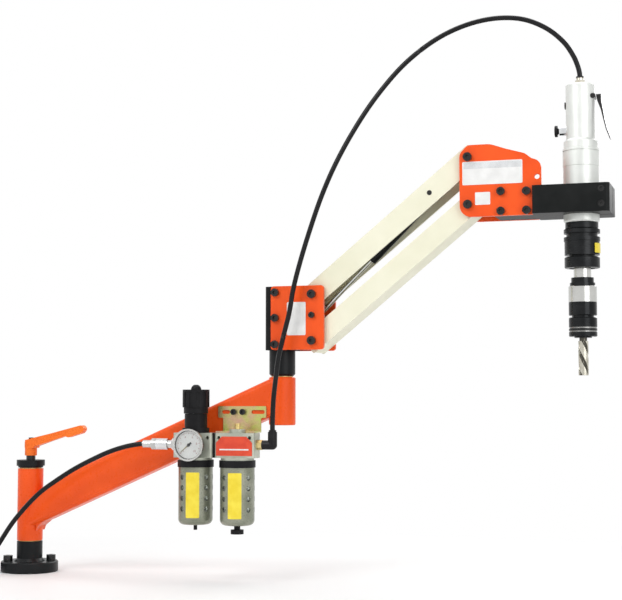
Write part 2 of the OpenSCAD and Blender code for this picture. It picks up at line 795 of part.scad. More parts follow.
// Flanged bush: side 1 has its flange on top, at z
module flanged_bush(d, bore, z, side, flange) difference() {
    union() {
        rod(d - 2 * seat, side > 0 ? z - bush_l : z, side > 0 ? z : z + bush_l);
        rod(flange, side > 0 ? z : z - bush_flange_t, side > 0 ? z + bush_flange_t : z);
    }
    rod(bore, z - bush_l - over, z + bush_l + over);
}
module arm_bushes() color("#b08a4a") {
    bush_rim = column_d - 4 * bush_flange_t;
    flanged_bush(column_bush_d, spindle_d + 2 * fit, column_low_z, -1, bush_rim);
    flanged_bush(column_bush_d, spindle_d + 2 * fit, column_top_z, 1, bush_rim);
    at_elbow() {
        flanged_bush(tube_bush_d, shaft_d + 2 * fit, tube_top_z, 1, tube_d - 2 * bush_lip);
        difference() {
            rod(tube_bush_d - 2 * seat, tube_low_z + tube_recess, tube_low_z + tube_recess + bush_l);
            rod(shaft_d + 2 * fit, tube_low_z, tube_low_z + tube_recess + bush_l + over);
        }
    }
}

// Swivel: shaft, retainer, collar, block and plates
module swivel_shaft() color("#8b8f92") at_elbow() difference() {
    rod(shaft_d, tube_low_z + tube_recess - run, knuckle_top_z - knuckle_round);
    rod(retainer_screw_d + 2 * seat, tube_low_z, tube_low_z + tube_recess - run + retainer_screw_l + seat);
}
module shaft_retainer() color("#3a3d40") translate([arm_reach, 0, tube_low_z + tube_recess - run]) union() {
    rod(retainer_d, -retainer_t, 0);
    rod(retainer_screw_d, -retainer_t, retainer_screw_l);
    translate([0, 0, -retainer_t - retainer_hex_h]) cylinder(d = retainer_screw_d * 1.6, h = retainer_hex_h,
        $fn = 6);
}
module swivel_collar() color("#1e2021") at_elbow() difference() {
    turned([
        [0, collar_low_z], [collar_d / 2 - tube_edge * 2, collar_low_z],
        [collar_d / 2, collar_low_z + tube_edge * 2],
        [collar_d / 2, plate_low_z], [0, plate_low_z]
    ]);
    rod(shaft_d + 2 * seat, collar_low_z - over, plate_low_z + over);
}
module knuckle_block() color("#222526") difference() {
    translate([arm_reach, 0, plate_low_z]) linear_extrude(knuckle_h) union() {
        round_rect(knuckle_block_l, plate_gap, knuckle_block_round);
        translate([knuckle_block_l / 4, 0]) square([knuckle_block_l / 2, plate_gap], center = true);
    }
    at_elbow() rod(shaft_d + 2 * seat, plate_low_z - over, knuckle_top_z - knuckle_round);
    for (z = screw_row_shares) both_sides()
        cross_rod(side_screw_d + 2 * seat, arm_reach, plate_low_z + z * knuckle_h, shaft_d / 2,
            plate_gap / 2 + over);
}
module knuckle_plates() color("#f0561f") both_sides() difference() {
    upright(rounded([
        [knuckle_plate_x, plate_low_z, knuckle_round],
        [knuckle_plate_x + knuckle_w, plate_low_z, knuckle_round],
        [knuckle_plate_x + knuckle_w, knuckle_top_z, knuckle_round],
        [knuckle_plate_x, knuckle_top_z, knuckle_round]
    ]), plate_gap / 2, plate_outer);
    for (z = screw_row_shares) cross_rod(side_screw_d + 2 * seat, arm_reach, plate_low_z + z * knuckle_h,
        -plate_outer - over, plate_outer + over);
    for (z = [lower_pivot_z, upper_pivot_z]) cross_rod(pin_d + 2 * seat, pivot_x, z, -plate_outer - over,
        plate_outer + over);
    cross_rod(small_pin_d + 2 * seat, pivot_x, strut_foot_z, -plate_outer - over, plate_outer + over);
}
// Pivot pin across both plates, with a socket head at each end
module pivot_pin(x, z, d, head_d, head_h, hex) difference() {
    union() {
        cross_rod(d, x, z, -plate_outer, plate_outer);
        both_sides() cross_rod(head_d, x, z, plate_outer, plate_outer + head_h);
    }
    both_sides() translate([x, plate_outer + head_h - side_hex_deep, z]) rotate([-90, 0, 0])
        cylinder(d = hex / cos(30), h = side_hex_deep + over, $fn = 6);
}
// Socket screws that hold the plates to the block, and the pivot bolts across the plates
module knuckle_bolts() color("#1b1c1d") {
    for (z = screw_row_shares) for (side = [-1, 1])
        side_screw(arm_reach, plate_low_z + z * knuckle_h, side, plate_outer, side_screw_d,
            plate_outer - shaft_d / 2 - over, side_head_d, side_head_h, side_hex, side_hex_deep);
    for (z = [lower_pivot_z, upper_pivot_z]) pivot_pin(pivot_x, z, pin_d, pin_head_d, side_head_h, side_hex);
    pivot_pin(pivot_x, strut_foot_z, small_pin_d, small_head_d, small_head_h, small_hex);
}

// Link channel from its lower pivot at the origin, along +X, with its web on side web
module channel(h, web) difference() {
    union() {
        both_sides() upright(rounded([
            [-channel_end, -h / 2, channel_round], [link_l + channel_end, -h / 2, channel_round],
            [link_l + channel_end, h / 2, channel_round], [-channel_end, h / 2, channel_round]
        ]), channel_w / 2 - channel_wall, channel_w / 2);
        translate([channel_round - channel_end, -channel_w / 2, web > 0 ? h / 2 - channel_wall : -h / 2])
            cube([link_l + 2 * channel_end - 2 * channel_round, channel_w, channel_wall]);
    }
    for (x = [0, link_l]) cross_rod(link_bush_d, x, 0, -channel_w / 2 - over, channel_w / 2 + over);
}
module link_bushes() for (x = [0, link_l]) difference() {
    union() {
        cross_rod(link_bush_d - 2 * seat, x, 0, -channel_w / 2, channel_w / 2);
        both_sides() cross_rod(link_bush_d + link_bush_wall, x, 0, channel_w / 2, channel_w / 2 + bush_clear);
    }
    cross_rod(pin_d + 2 * fit, x, 0, -channel_w, channel_w);
}
module on_link(z) translate([pivot_x, 0, z]) rotate([0, -link_angle, 0]) children();
module upper_channel() color("#f3efd6") on_link(upper_pivot_z) difference() {
    channel(upper_channel_h, 1);
    cross_rod(small_pin_d + 2 * seat, strut_pin_reach, 0, -channel_w / 2 - over, channel_w / 2 + over);
}
module lower_channel() color("#f3efd6") on_link(lower_pivot_z) channel(lower_channel_h, -1);
module upper_link_bushes() color("#b08a4a") on_link(upper_pivot_z) link_bushes();
module lower_link_bushes() color("#b08a4a") on_link(lower_pivot_z) link_bushes();
module strut_pin() color("#1b1c1d") on_link(upper_pivot_z)
    cross_rod(small_pin_d, strut_pin_reach, 0, -channel_w / 2 - over / 2, channel_w / 2 + over / 2);

// Gas strut along +X from its foot at the origin
module on_strut() translate([pivot_x, 0, strut_foot_z]) rotate([0, -strut_angle, 0]) children();
module strut_eye(x, hole) difference() {
    cross_rod(strut_eye_d, x, 0, -strut_eye_t / 2, strut_eye_t / 2);
    cross_rod(hole, x, 0, -strut_eye_t, strut_eye_t);
}
strut_cylinder_low = strut_l - strut_tail - strut_cylinder_l;
strut_bore_stop = strut_l - strut_tail - 3 * strut_wall;
module strut_cylinder() color("#1a1c1e") on_strut() difference() {
    union() {
        strut_eye(strut_l, small_pin_d + 2 * fit);
        long_rod(strut_d, strut_cylinder_low, strut_l - strut_tail, 0, 0);
        long_rod(strut_neck_d, strut_l - strut_tail - over, strut_l - small_pin_d / 2 - 2 * fit - over, 0, 0);
    }
    long_rod(strut_d - 2 * strut_wall, strut_cylinder_low + strut_gland_h, strut_bore_stop, 0, 0);
    long_rod(strut_rod_d + 2 * fit, strut_cylinder_low - over, strut_cylinder_low + strut_gland_h + over, 0, 0);
    cross_rod(small_pin_d + 2 * fit, strut_l, 0, -strut_eye_t, strut_eye_t);
}
module strut_rod() color("#c9ccce") on_strut() {
    difference() {
        union() {
            strut_eye(0, strut_foot_hole_d);
            long_rod(strut_rod_d, strut_eye_d / 2 - over, strut_cylinder_low + strut_piston_in, 0, 0);
        }
        cross_rod(strut_foot_hole_d, 0, 0, -strut_eye_t, strut_eye_t);
    }
    long_rod(strut_piston_d, strut_cylinder_low + strut_piston_in,
        strut_cylinder_low + strut_piston_in + strut_piston_h, 0, 0);
}

// Head plates: outlines as shares of their length and height, with corner radii; only the front one has the ear
head_foot_shares = [[0, 0, 0.16], [0.893, 0, 0.01], [0.893, 0.398, 0.01]];
head_ear_shares = [[1, 0.398, 0.02], [1, 0.735, 0.13], [0.885, 0.775, 0.04], [0.80, 0.85, 0.08]];
head_rear_shares = [[0.835, 0.398, 0.01], [0.835, 0.83, 0.10]];
head_top_shares = [[0.57, 0.925, 0.3], [0.38, 1, 0.3], [0.10, 1, 0.10], [0, 0.88, 0.12]];
head_screw_shares = [[0.510, 0.335], [0.510, 0.062], [0.822, 0.325], [0.822, 0.062]];
head_ear_hole_shares = [0.948, 0.52];
function head_x(share) = head_left_x + share * head_plate_l;
function head_z(share) = head_low_z + share * head_plate_h;
module head_plates() color("#f0561f") for (side = [-1, 1]) difference() {
    upright(rounded([
        for (p = concat(head_foot_shares, side < 0 ? head_ear_shares : head_rear_shares, head_top_shares))
        [head_x(p[0]), head_z(p[1]), p[2] * head_plate_h]
    ]), side < 0 ? -plate_outer : plate_gap / 2, side < 0 ? -plate_gap / 2 : plate_outer);
    for (p = head_screw_shares) cross_rod(side_screw_d + 2 * seat, head_x(p[0]), head_z(p[1]), -block_w,
        block_w);
    for (z = [head_low_pivot_z, head_up_pivot_z]) cross_rod(pin_d + 2 * seat, head_pivot_x, z, -block_w,
        block_w);
    cross_rod(head_ear_hole_d, head_x(head_ear_hole_shares[0]), head_z(head_ear_hole_shares[1]), -block_w, 0);
}
// Screws of the plates, pivot bolts across the plates, the two screws that clamp the motor, and its plug screw
module head_bolts() color("#1b1c1d") {
    for (p = head_screw_shares) for (side = [-1, 1])
        side_screw(head_x(p[0]), head_z(p[1]), side, plate_outer, side_screw_d, side_screw_l, side_head_d,
            side_head_h, side_hex, side_hex_deep);
    for (z = [head_low_pivot_z, head_up_pivot_z]) pivot_pin(head_pivot_x, z, pin_d, pin_head_d, side_head_h,
        side_hex);
    for (z = clamp_row_shares) side_screw(clamp_screw_x, block_low_z + z * block_h, -1,
        block_w / 2 - clamp_head_h - over, clamp_screw_d, block_w - 4 * clamp_head_h, clamp_head_d,
        clamp_head_h, small_hex, side_hex_deep);
    long_rod(plug_screw_d, motor_x - motor_neck_d / 2 - plug_screw_proud,
        motor_x - motor_neck_d / 2 + plug_screw_deep - seat, 0, plug_screw_z);
}
// Clamp block: a tongue between the plates and a split ring round the motor
module head_block() color("#232628") difference() {
    union() {
        translate([block_left_x, -block_w / 2, block_low_z]) linear_extrude(block_h) polygon(rounded([
            [0, 0, block_edge], [block_l, 0, 3 * block_edge], [block_l, block_w, 3 * block_edge],
            [0, block_w, block_edge]
        ]));
        translate([block_left_x - tongue_l, -plate_gap / 2 + seat, block_low_z])
            cube([tongue_l + over, plate_gap - 2 * seat, block_h]);
    }
    at_motor() rod(motor_d + 2 * seat, block_low_z - over, block_top_z + over);
    translate([motor_x, -block_slit / 2, block_low_z - over]) cube([block_l, block_slit, block_h + 2 * over]);
    for (z = clamp_row_shares) {
        cross_rod(clamp_head_d + 2 * run, clamp_screw_x, block_low_z + z * block_h, -block_w / 2 - over,
            -block_w / 2 + clamp_head_h + over);
        cross_rod(clamp_screw_d + 2 * seat, clamp_screw_x, block_low_z + z * block_h, -block_w / 2,
            block_w / 2 - 2 * clamp_head_h);
    }
    for (p = head_screw_shares) both_sides() cross_rod(side_screw_d + 2 * seat, head_x(p[0]), head_z(p[1]),
        plate_outer - side_screw_l - seat, plate_gap / 2 + over);
}

// Air motor: lower housing held in the block, and the slim head that takes the air
module motor_housing() color("#c8ccca") at_motor() difference() {
    r = motor_d / 2;
    wide = r + motor_groove / 2;
    swell_z = block_top_z + motor_swell_share * motor_above;
    groove_z = motor_collar_low_z - motor_groove_up;
    turned([
        [0, motor_low_z], [r - motor_edge, motor_low_z], [r, motor_low_z + motor_edge], [r, swell_z],
        [wide, swell_z + motor_groove / 2], [wide, groove_z], [r - motor_groove, groove_z],
        [r - motor_groove, groove_z + motor_groove_h], [wide, groove_z + motor_groove_h],
        [wide, motor_collar_low_z - motor_groove], [r - motor_groove, motor_collar_low_z],
        [0, motor_collar_low_z]
    ]);
    rod(motor_bore_d, motor_low_z - over, motor_low_z + motor_bearing_deep);
}
module motor_head() color("#d3d6d3") difference() {
    union() {
        at_motor() turned([
            [0, motor_collar_low_z + seat], [motor_collar_d / 2, motor_collar_low_z + seat],
            [motor_collar_d / 2, motor_step_z - motor_edge * 2], [motor_neck_d / 2, motor_step_z],
            [motor_neck_d / 2, motor_top_z - motor_edge], [motor_neck_d / 2 - motor_edge, motor_top_z],
            [0, motor_top_z]
        ]);
        both_sides() {
            cross_rod(throttle_boss_d, lever_pivot_x, lever_pivot_z, throttle_w / 2 + run,
                throttle_w / 2 + run + ear_t);
            translate([motor_x + motor_d / 4, throttle_w / 2 + run, lever_pivot_z - throttle_boss_d / 2])
                cube([lever_pivot_x - motor_x - motor_d / 4, ear_t, throttle_boss_d]);
        }
    }
    cross_rod(throttle_pin_d + 2 * fit, lever_pivot_x, lever_pivot_z, -throttle_w, throttle_w);
    cross_rod(throttle_boss_d + 2 * run, lever_pivot_x, lever_pivot_z, -throttle_w / 2 - run,
        throttle_w / 2 + run);
    cross_rod(throttle_screw_d + 2 * run, lever_pivot_x, lever_pivot_z, -motor_d,
        -throttle_w / 2 - run - ear_t);
    long_rod(plug_screw_d + 2 * seat, motor_x - motor_d, motor_x - motor_neck_d / 2 + plug_screw_deep, 0,
        plug_screw_z);
    at_motor() rod(inlet_neck_d + 2 * seat, motor_top_z - inlet_thread_deep - seat, motor_top_z + over);
    long_rod(guide_core_d + 2 * seat, motor_x - motor_d, motor_x - motor_neck_d / 2 + guide_deep, 0, button_z);
}
module inlet_fitting() color("#c9c7bd") translate([motor_x, 0, motor_top_z]) difference() {
    union() {
        rod(inlet_neck_d, -inlet_thread_deep, inlet_hex_h);
        translate([0, 0, seat]) cylinder(d = inlet_hex / cos(30), h = inlet_hex_h, $fn = 6);
        rod(inlet_neck_d, inlet_hex_h, inlet_h - inlet_clip_h);
        rod(inlet_clip_d, inlet_h - inlet_clip_h, inlet_h);
    }
    rod(hose_d + 2 * seat, inlet_h - hose_in, inlet_h + over);
}
// Reverse button: a guide screwed into the motor and the button that slides in it
module button_guide() color("#b9bcbd") {
    neck_x = motor_x - motor_neck_d / 2;
    difference() {
        long_rod(guide_d, neck_x - guide_l, neck_x + guide_deep / 2, 0, button_z);
        at_motor() rod(motor_neck_d + 2 * seat, button_z - guide_d, button_z + guide_d);
        long_rod(button_stem_d + 2 * fit, motor_x - motor_d, motor_x, 0, button_z);
    }
    difference() {
        long_rod(guide_core_d, neck_x - guide_l / 2, neck_x + guide_deep - seat, 0, button_z);
        long_rod(button_stem_d + 2 * fit, motor_x - motor_d, motor_x, 0, button_z);
    }
}
module reverse_button() color("#1b1d1e") {
    neck_x = motor_x - motor_neck_d / 2;
    face_x = neck_x - guide_l - run - button_travel;
    long_rod(button_stem_d, face_x - over, neck_x + guide_deep - button_travel - 2 * run, 0, button_z);
    long_rod(button_neck_d, face_x - over, face_x, 0, button_z);
    long_rod(button_d, face_x - over - button_t, face_x - over, 0, button_z);
}
// Throttle lever: a boss on a pin between the motor's ears, and a bowed blade that thins out downwards
module throttle_lever() color("#1b1d1e") union() {
    outer_y = throttle_w / 2 + run + ear_t;
    top_z = lever_pivot_z + throttle_up;
    outer = [for (p = throttle_shares) [lever_pivot_x + p[0] * throttle_kick, top_z - p[1] * throttle_drop]];
    inner = [for (i = [len(outer) - 1:-1:0]) outer[i] - [throttle_shares[i][2] * throttle_root_t, 0]];
    cross_rod(throttle_boss_d, lever_pivot_x, lever_pivot_z, -throttle_w / 2, throttle_w / 2);
    cross_rod(throttle_pin_d, lever_pivot_x, lever_pivot_z, -outer_y - run, outer_y);
    cross_rod(throttle_screw_d, lever_pivot_x, lever_pivot_z, -outer_y - run - throttle_screw_h,
        -outer_y - run);
    upright(concat(outer, inner), -throttle_w / 2, throttle_w / 2);
}

// Chuck, its release sleeve, the adapter and the tap
module chuck_body() color("#212425") at_motor() difference() {
    body_z = chuck_low_z + sleeve_h + sleeve_gap;
    band_z = chuck_top_z - chuck_neck_h - 2 * chuck_edge;
    union() {
        rod(drive_d, chuck_top_z - over, motor_low_z + motor_bearing_deep - over);
        turned([
            [0, body_z], [chuck_d / 2 - chuck_edge, body_z],
            [chuck_d / 2 - chuck_edge, band_z - 3 * chuck_band],
            [chuck_d / 2, band_z - 3 * chuck_band], [chuck_d / 2, band_z - 2 * chuck_band],
            [chuck_core_d / 2, band_z - 2 * chuck_band], [chuck_core_d / 2, band_z - chuck_band],
            [chuck_d / 2, band_z - chuck_band], [chuck_d / 2, band_z],
            [chuck_neck_d / 2, chuck_top_z - chuck_neck_h], [chuck_neck_d / 2, chuck_top_z - chuck_edge],
            [chuck_neck_d / 2 - chuck_edge, chuck_top_z], [0, chuck_top_z]
        ]);
        rod(chuck_stub_d, chuck_low_z + over, chuck_low_z + sleeve_h + sleeve_gap + over);
    }
    rod(adapter_shank_d + 2 * seat, chuck_low_z - over, chuck_low_z + adapter_in);
}
// Ring from z a to z b with bevelled edges
module bevelled(d, a, b) turned([
    [0, a], [d / 2 - chuck_edge, a], [d / 2, a + chuck_edge], [d / 2, b - chuck_edge],
    [d / 2 - chuck_edge, b], [0, b]
]);
module chuck_sleeve() color("#1d1f20") at_motor() difference() {
    bevelled(sleeve_d, chuck_low_z, chuck_low_z + sleeve_h);
    rod(chuck_stub_d + 2 * run, chuck_low_z - over, chuck_low_z + sleeve_h + over);
}
module tap_adapter() color("#b5b8b6") at_motor() difference() {
    step_z = adapter_body_low_z + adapter_body_h;
    union() {
        rod(adapter_shank_d, adapter_flange_z - over, chuck_low_z + adapter_in - over);
        bevelled(adapter_d, adapter_body_low_z, step_z);
        rod(adapter_step_d, step_z - over, step_z + adapter_step_h);
        rod(adapter_neck_d, step_z, adapter_flange_z);
        rod(adapter_core_d, adapter_collar_low_z, adapter_body_low_z + over);
        rod(adapter_spout_d, adapter_low_z, adapter_collar_low_z + over);
    }
    rod(tap_shank_d + 2 * seat, adapter_low_z - over, adapter_low_z + tap_in);
}
module adapter_collar() color("#1d1f20") at_motor() difference() {
    bevelled(adapter_d, adapter_collar_low_z, adapter_collar_low_z + adapter_collar_h);
    for (k = [0, 1]) difference() {
        low = adapter_collar_low_z + collar_groove_up + k * collar_groove_pitch;
        rod(adapter_d + over, low, low + collar_groove_w);
        translate([0, 0, low]) cylinder(d1 = adapter_d, d2 = adapter_d - 2 * chuck_edge,
            h = collar_groove_w / 4);
        rod(adapter_d - 2 * chuck_edge, low, low + collar_groove_w);
        translate([0, 0, low + collar_groove_w * 3 / 4])
            cylinder(d1 = adapter_d - 2 * chuck_edge, d2 = adapter_d, h = collar_groove_w / 4);
    }
    rod(adapter_core_d + 2 * run, adapter_collar_low_z - over, adapter_collar_low_z + adapter_collar_h + over);
}
module tap() color("#b9b6a6") at_motor() {
    rod(tap_shank_d, tap_top_z - tap_neck_l, tap_top_z + tap_in - over);
    translate([0, 0, tap_top_z - tap_l]) linear_extrude(tap_l - tap_neck_l, twist = tap_twist, slices = 20,
        $fn = 36)
        difference() {
            circle(d = tap_d);
            for (i = [0:tap_flutes - 1]) rotate(i * 360 / tap_flutes) translate([tap_d * 0.52, 0])
                circle(d = tap_d * 0.42, $fn = 16);
        }
}

// Air unit: bodies, bonnet, knob and gauge
module unit_block(x) at_unit(x, unit_z) linear_extrude(unit_h) polygon(rounded([
    [-unit_w / 2, -unit_depth / 2, unit_edge], [unit_w / 2, -unit_depth / 2, unit_edge],
    [unit_w / 2, unit_depth / 2, unit_edge], [-unit_w / 2, unit_depth / 2, unit_edge]
]));
// Body of one unit: port block with two blind corner holes, and the round boss and spigot over the bowl
module unit_body(x) difference() {
    union() {
        unit_block(x);
        at_unit(x) rod(unit_boss_d, bowl_ring_top_z, unit_z + seat);
        at_unit(x) rod(unit_spigot_d, guard_top_z + run, unit_z);
    }
    for (side = [-1, 1]) {
        port_x = x + side * (unit_w - port_deep) / 2;
        long_rod(port_thread_d + 2 * seat, port_x - port_deep / 2 - over, port_x + port_deep / 2 + over,
            -unit_y, port_z);
        cross_rod(corner_hole_d, x + side * (unit_w / 2 - corner_hole_in), unit_top_z - corner_hole_in,
            -unit_y - unit_depth / 2 - over, -unit_y - unit_depth / 2 + corner_hole_deep);
    }
}
module regulator_body() color("#c3c6bd") difference() {
    unit_body(unit_x);
    cross_rod(gauge_stem_d + 2 * seat, gauge_x, gauge_z, -unit_y - unit_depth,
        -unit_y - unit_depth / 2 + port_deep);
}
module lubricator_body() color("#c3c6bd") difference() {
    union() {
        unit_body(lube_x);
        at_unit(lube_x) rod(dome_d, unit_top_z - over, unit_top_z + dome_h);
    }
    at_unit(lube_x) rod(oil_stem_d + 2 * fit, unit_top_z - over, unit_top_z + dome_h + over);
}
module oil_screw() color("#c9a94e") at_unit(lube_x) {
    rod(oil_stem_d, unit_top_z - over + run, unit_top_z + dome_h + run + over);
    rod(oil_screw_d, unit_top_z + dome_h + run, unit_top_z + dome_h + run + oil_screw_h);
}
module unit_spacer() color("#202223") translate([unit_x + unit_w / 2 + seat,
    -unit_y - unit_depth / 2 + unit_edge, unit_z])
    cube([spacer_gap - 2 * seat, unit_depth - 2 * unit_edge, unit_h]);
module regulator_bonnet() color("#1d1f20") at_unit(unit_x, unit_top_z) difference() {
    union() {
        rod(knob_d, seat, bonnet_flange_h);
        rod(bonnet_neck_d, bonnet_flange_h - over, bonnet_flange_h + bonnet_h);
    }
    rod(spindle_stem_d + 2 * fit, bonnet_flange_h, bonnet_flange_h + bonnet_h + over);
}
// Adjusting spindle: its stem turns in the bonnet, and the knob slides on its hub
module regulator_spindle() color("#8b8f92") at_unit(unit_x, knob_low_z) {
    rod(spindle_stem_d, -bonnet_h, 0);
    rod(spindle_hub_d, 0, bonnet_top_h);
}
module regulator_knob() color("#191b1c") at_unit(unit_x, knob_low_z) difference() {
    union() {
        rod(knob_step_d, 0, knob_step_h);
        rod(knob_d, knob_step_h - over, knob_h);
        intersection() {
            rod(knob_dome_d, knob_h - over, knob_h + knob_dome_h);
            translate([0, 0, knob_h]) sphere(d = knob_dome_d);
        }
    }
    for (i = [0:knob_ribs - 1]) rotate(i * 360 / knob_ribs) translate([knob_d / 2 - knob_rib_deep,
        -knob_rib_w / 2, knob_step_h])
        cube([knob_rib_w, knob_rib_w, knob_h - knob_step_h - knob_wall]);
    rod(spindle_hub_d + 2 * run, -over, bonnet_top_h + run);
}
module gauge_case() color("#2a2c2d") difference() {
    union() {
        cross_rod(gauge_d - 2 * gauge_wall, gauge_x, gauge_z, gauge_front_y + gauge_rim_t - over,
            gauge_front_y + gauge_t);
        cross_rod(gauge_d, gauge_x, gauge_z, gauge_front_y, gauge_front_y + gauge_rim_t);
        cross_rod(gauge_stem_d, gauge_x, gauge_z, gauge_front_y + gauge_t - over,
            -unit_y - unit_depth / 2 + port_deep - seat);
    }
    cross_rod(gauge_d - 4 * gauge_wall, gauge_x, gauge_z, gauge_front_y - over,
        gauge_front_y + gauge_dial_deep);
    cross_rod(needle_pin_d + 2 * fit, gauge_x, gauge_z, gauge_front_y, gauge_front_y + gauge_t - over);
}
module gauge_lens() color("#dfe6e6", 0.4)
    cross_rod(gauge_d - 4 * gauge_wall - 2 * seat, gauge_x, gauge_z, gauge_front_y,
        gauge_front_y + gauge_lens_t);
module gauge_needle() color("#3a3420") translate([gauge_x, gauge_front_y + gauge_dial_deep - run, gauge_z]) {
    reach = gauge_d / 2 - 4 * gauge_wall;
    cross_rod(needle_hub_d, 0, 0, -needle_t - run, 0);
    cross_rod(needle_pin_d, 0, 0, -over / 2, gauge_t / 3);
    rotate([0, -needle_angle, 0]) translate([0, -needle_t, 0]) upright([
        [-reach * needle_tail_share, -needle_w], [-reach * needle_tail_share, needle_w], [reach, needle_w / 5],
        [reach, -needle_w / 5]
    ], 0, needle_t);
}

// Bowls: black rings that hold slotted metal guards round clear bowls, with their drains
module bowl_ring(x) at_unit(x) difference() {
    rod(bowl_ring_d, bowl_ring_low_z, bowl_ring_top_z - seat);
    rod(unit_spigot_d + 2 * seat, bowl_ring_low_z, bowl_ring_top_z + over);
    rod(guard_d + 2 * seat, bowl_ring_low_z - over, guard_top_z + seat);
}
module bowl_rings() color("#1b1d1e") for (x = [unit_x, lube_x]) bowl_ring(x);
module bowl_guard(x) at_unit(x) difference() {
    turned([
        [0, guard_low_z], [guard_d / 2 - guard_bottom_r, guard_low_z],
        for (i = [1:5]) ring_point([guard_d / 2 - guard_bottom_r, guard_low_z + guard_bottom_r],
            guard_bottom_r, -90 + 15 * i),
        [guard_d / 2, guard_low_z + guard_bottom_r], [guard_d / 2, guard_top_z], [0, guard_top_z]
    ]);
    rod(guard_d - 2 * guard_wall, guard_low_z + guard_bottom_r, guard_top_z + over);
    rod(guard_d - 2 * guard_bottom_r, guard_low_z + 2 * guard_wall, guard_top_z);
    rod(drain_hole_d, guard_low_z - over, guard_low_z + guard_bottom_r);
    for (c = [0:guard_columns - 2]) for (k = [0:guard_rows - 1]) rotate(-30 + c * 360 / guard_columns)
        long_rod(guard_hole_d, guard_d / 4, guard_d, 0, guard_low_z + guard_first_row + k * guard_row_pitch);
}
module bowl_guards() color("#9a9f96") for (x = [unit_x, lube_x]) bowl_guard(x);
module clear_bowl(x) at_unit(x) {
    r = guard_d / 2 - guard_wall - bowl_gap;
    low = guard_low_z + guard_bottom_r + bowl_low_gap;
    difference() {
        turned([
            [0, low], [r - bowl_round, low], [r, low + bowl_round], [r, guard_top_z - seat],
            [0, guard_top_z - seat]
        ]);
        rod(2 * (r - bowl_wall), low + bowl_wall, guard_top_z);
        rod(drain_stem_d + 2 * fit, low - over, low + bowl_wall + over);
    }
}
module clear_bowls() color("#cfd8d2", 0.5) for (x = [unit_x, lube_x]) clear_bowl(x);
module filter_drain() color("#1b1d1e") at_unit(unit_x, guard_low_z) {
    rod(nipple_d, -nipple_l, guard_bottom_r + bowl_low_gap + bowl_wall + run);
    rod(drain_stem_d, 2 * guard_wall + run, guard_bottom_r + bowl_low_gap + bowl_wall + run);
}
module oil_drain() color("#1b1d1e") at_unit(lube_x, guard_low_z) {
    rod(drain_stem_d, -drain_neck_h - over, guard_bottom_r + bowl_low_gap + bowl_wall + run);
    rod(drain_knob_d, -drain_neck_h - drain_knob_h, -drain_neck_h);
}
// Quick coupling on the inlet: nipple, body and the sleeve that releases it
module hose_coupling() color("#c4c8ca") {
    left = unit_x - unit_w / 2;
    core_l = port_hex_l + coupling_l;
    difference() {
        union() {
            long_rod(port_thread_d, left - over, left + port_deep - seat, -unit_y, port_z);
            translate([left - port_hex_l - seat, -unit_y, port_z]) rotate([0, 90, 0])
                cylinder(d = port_hex / cos(30), h = port_hex_l, $fn = 6);
            long_rod(coupling_core_d, left - core_l, left - port_hex_l, -unit_y, port_z);
            long_rod(coupling_d, left - core_l, left - core_l + coupling_step_l, -unit_y, port_z);
            long_rod(coupling_nut_d, left - core_l - coupling_nut_l, left - core_l, -unit_y, port_z);
        }
        long_rod(hose_d + 2 * seat, left - core_l - coupling_nut_l - over,
            left - core_l - coupling_nut_l + hose_in, -unit_y, port_z);
    }
}
module coupling_sleeve() color("#d2d5d6") {
    low = unit_x - unit_w / 2 - port_hex_l - coupling_l + coupling_step_l + run;
    difference() {
        long_rod(coupling_d, low, low + coupling_sleeve_l, -unit_y, port_z);
        long_rod(coupling_core_d + 2 * run, low - over, low + coupling_sleeve_l + over, -unit_y, port_z);
    }
}
// Push-in elbow on the outlet
module outlet_elbow() color("#1d2021") {
    right = lube_x + unit_w / 2;
    difference() {
        union() {
            long_rod(port_thread_d, right - port_deep + seat, right + over, -unit_y, port_z);
            translate([right + seat, -unit_y, port_z]) rotate([0, 90, 0]) cylinder(d = elbow_hex / cos(30),
                h = elbow_hex_l, $fn = 6);
            long_rod(elbow_d, right + elbow_hex_l, elbow_x, -unit_y, port_z);
            translate([elbow_x, -unit_y, port_z]) sphere(d = elbow_d);
            translate([elbow_x, -unit_y, 0]) {
                rod(elbow_d, port_z, elbow_top_z - elbow_ring_h);
                rod(elbow_ring_d, elbow_top_z - elbow_ring_h - over, elbow_top_z);
            }
        }
        translate([elbow_x, -unit_y, 0]) rod(hose_d + 2 * seat, elbow_top_z - hose_in, elbow_top_z + over);
    }
}
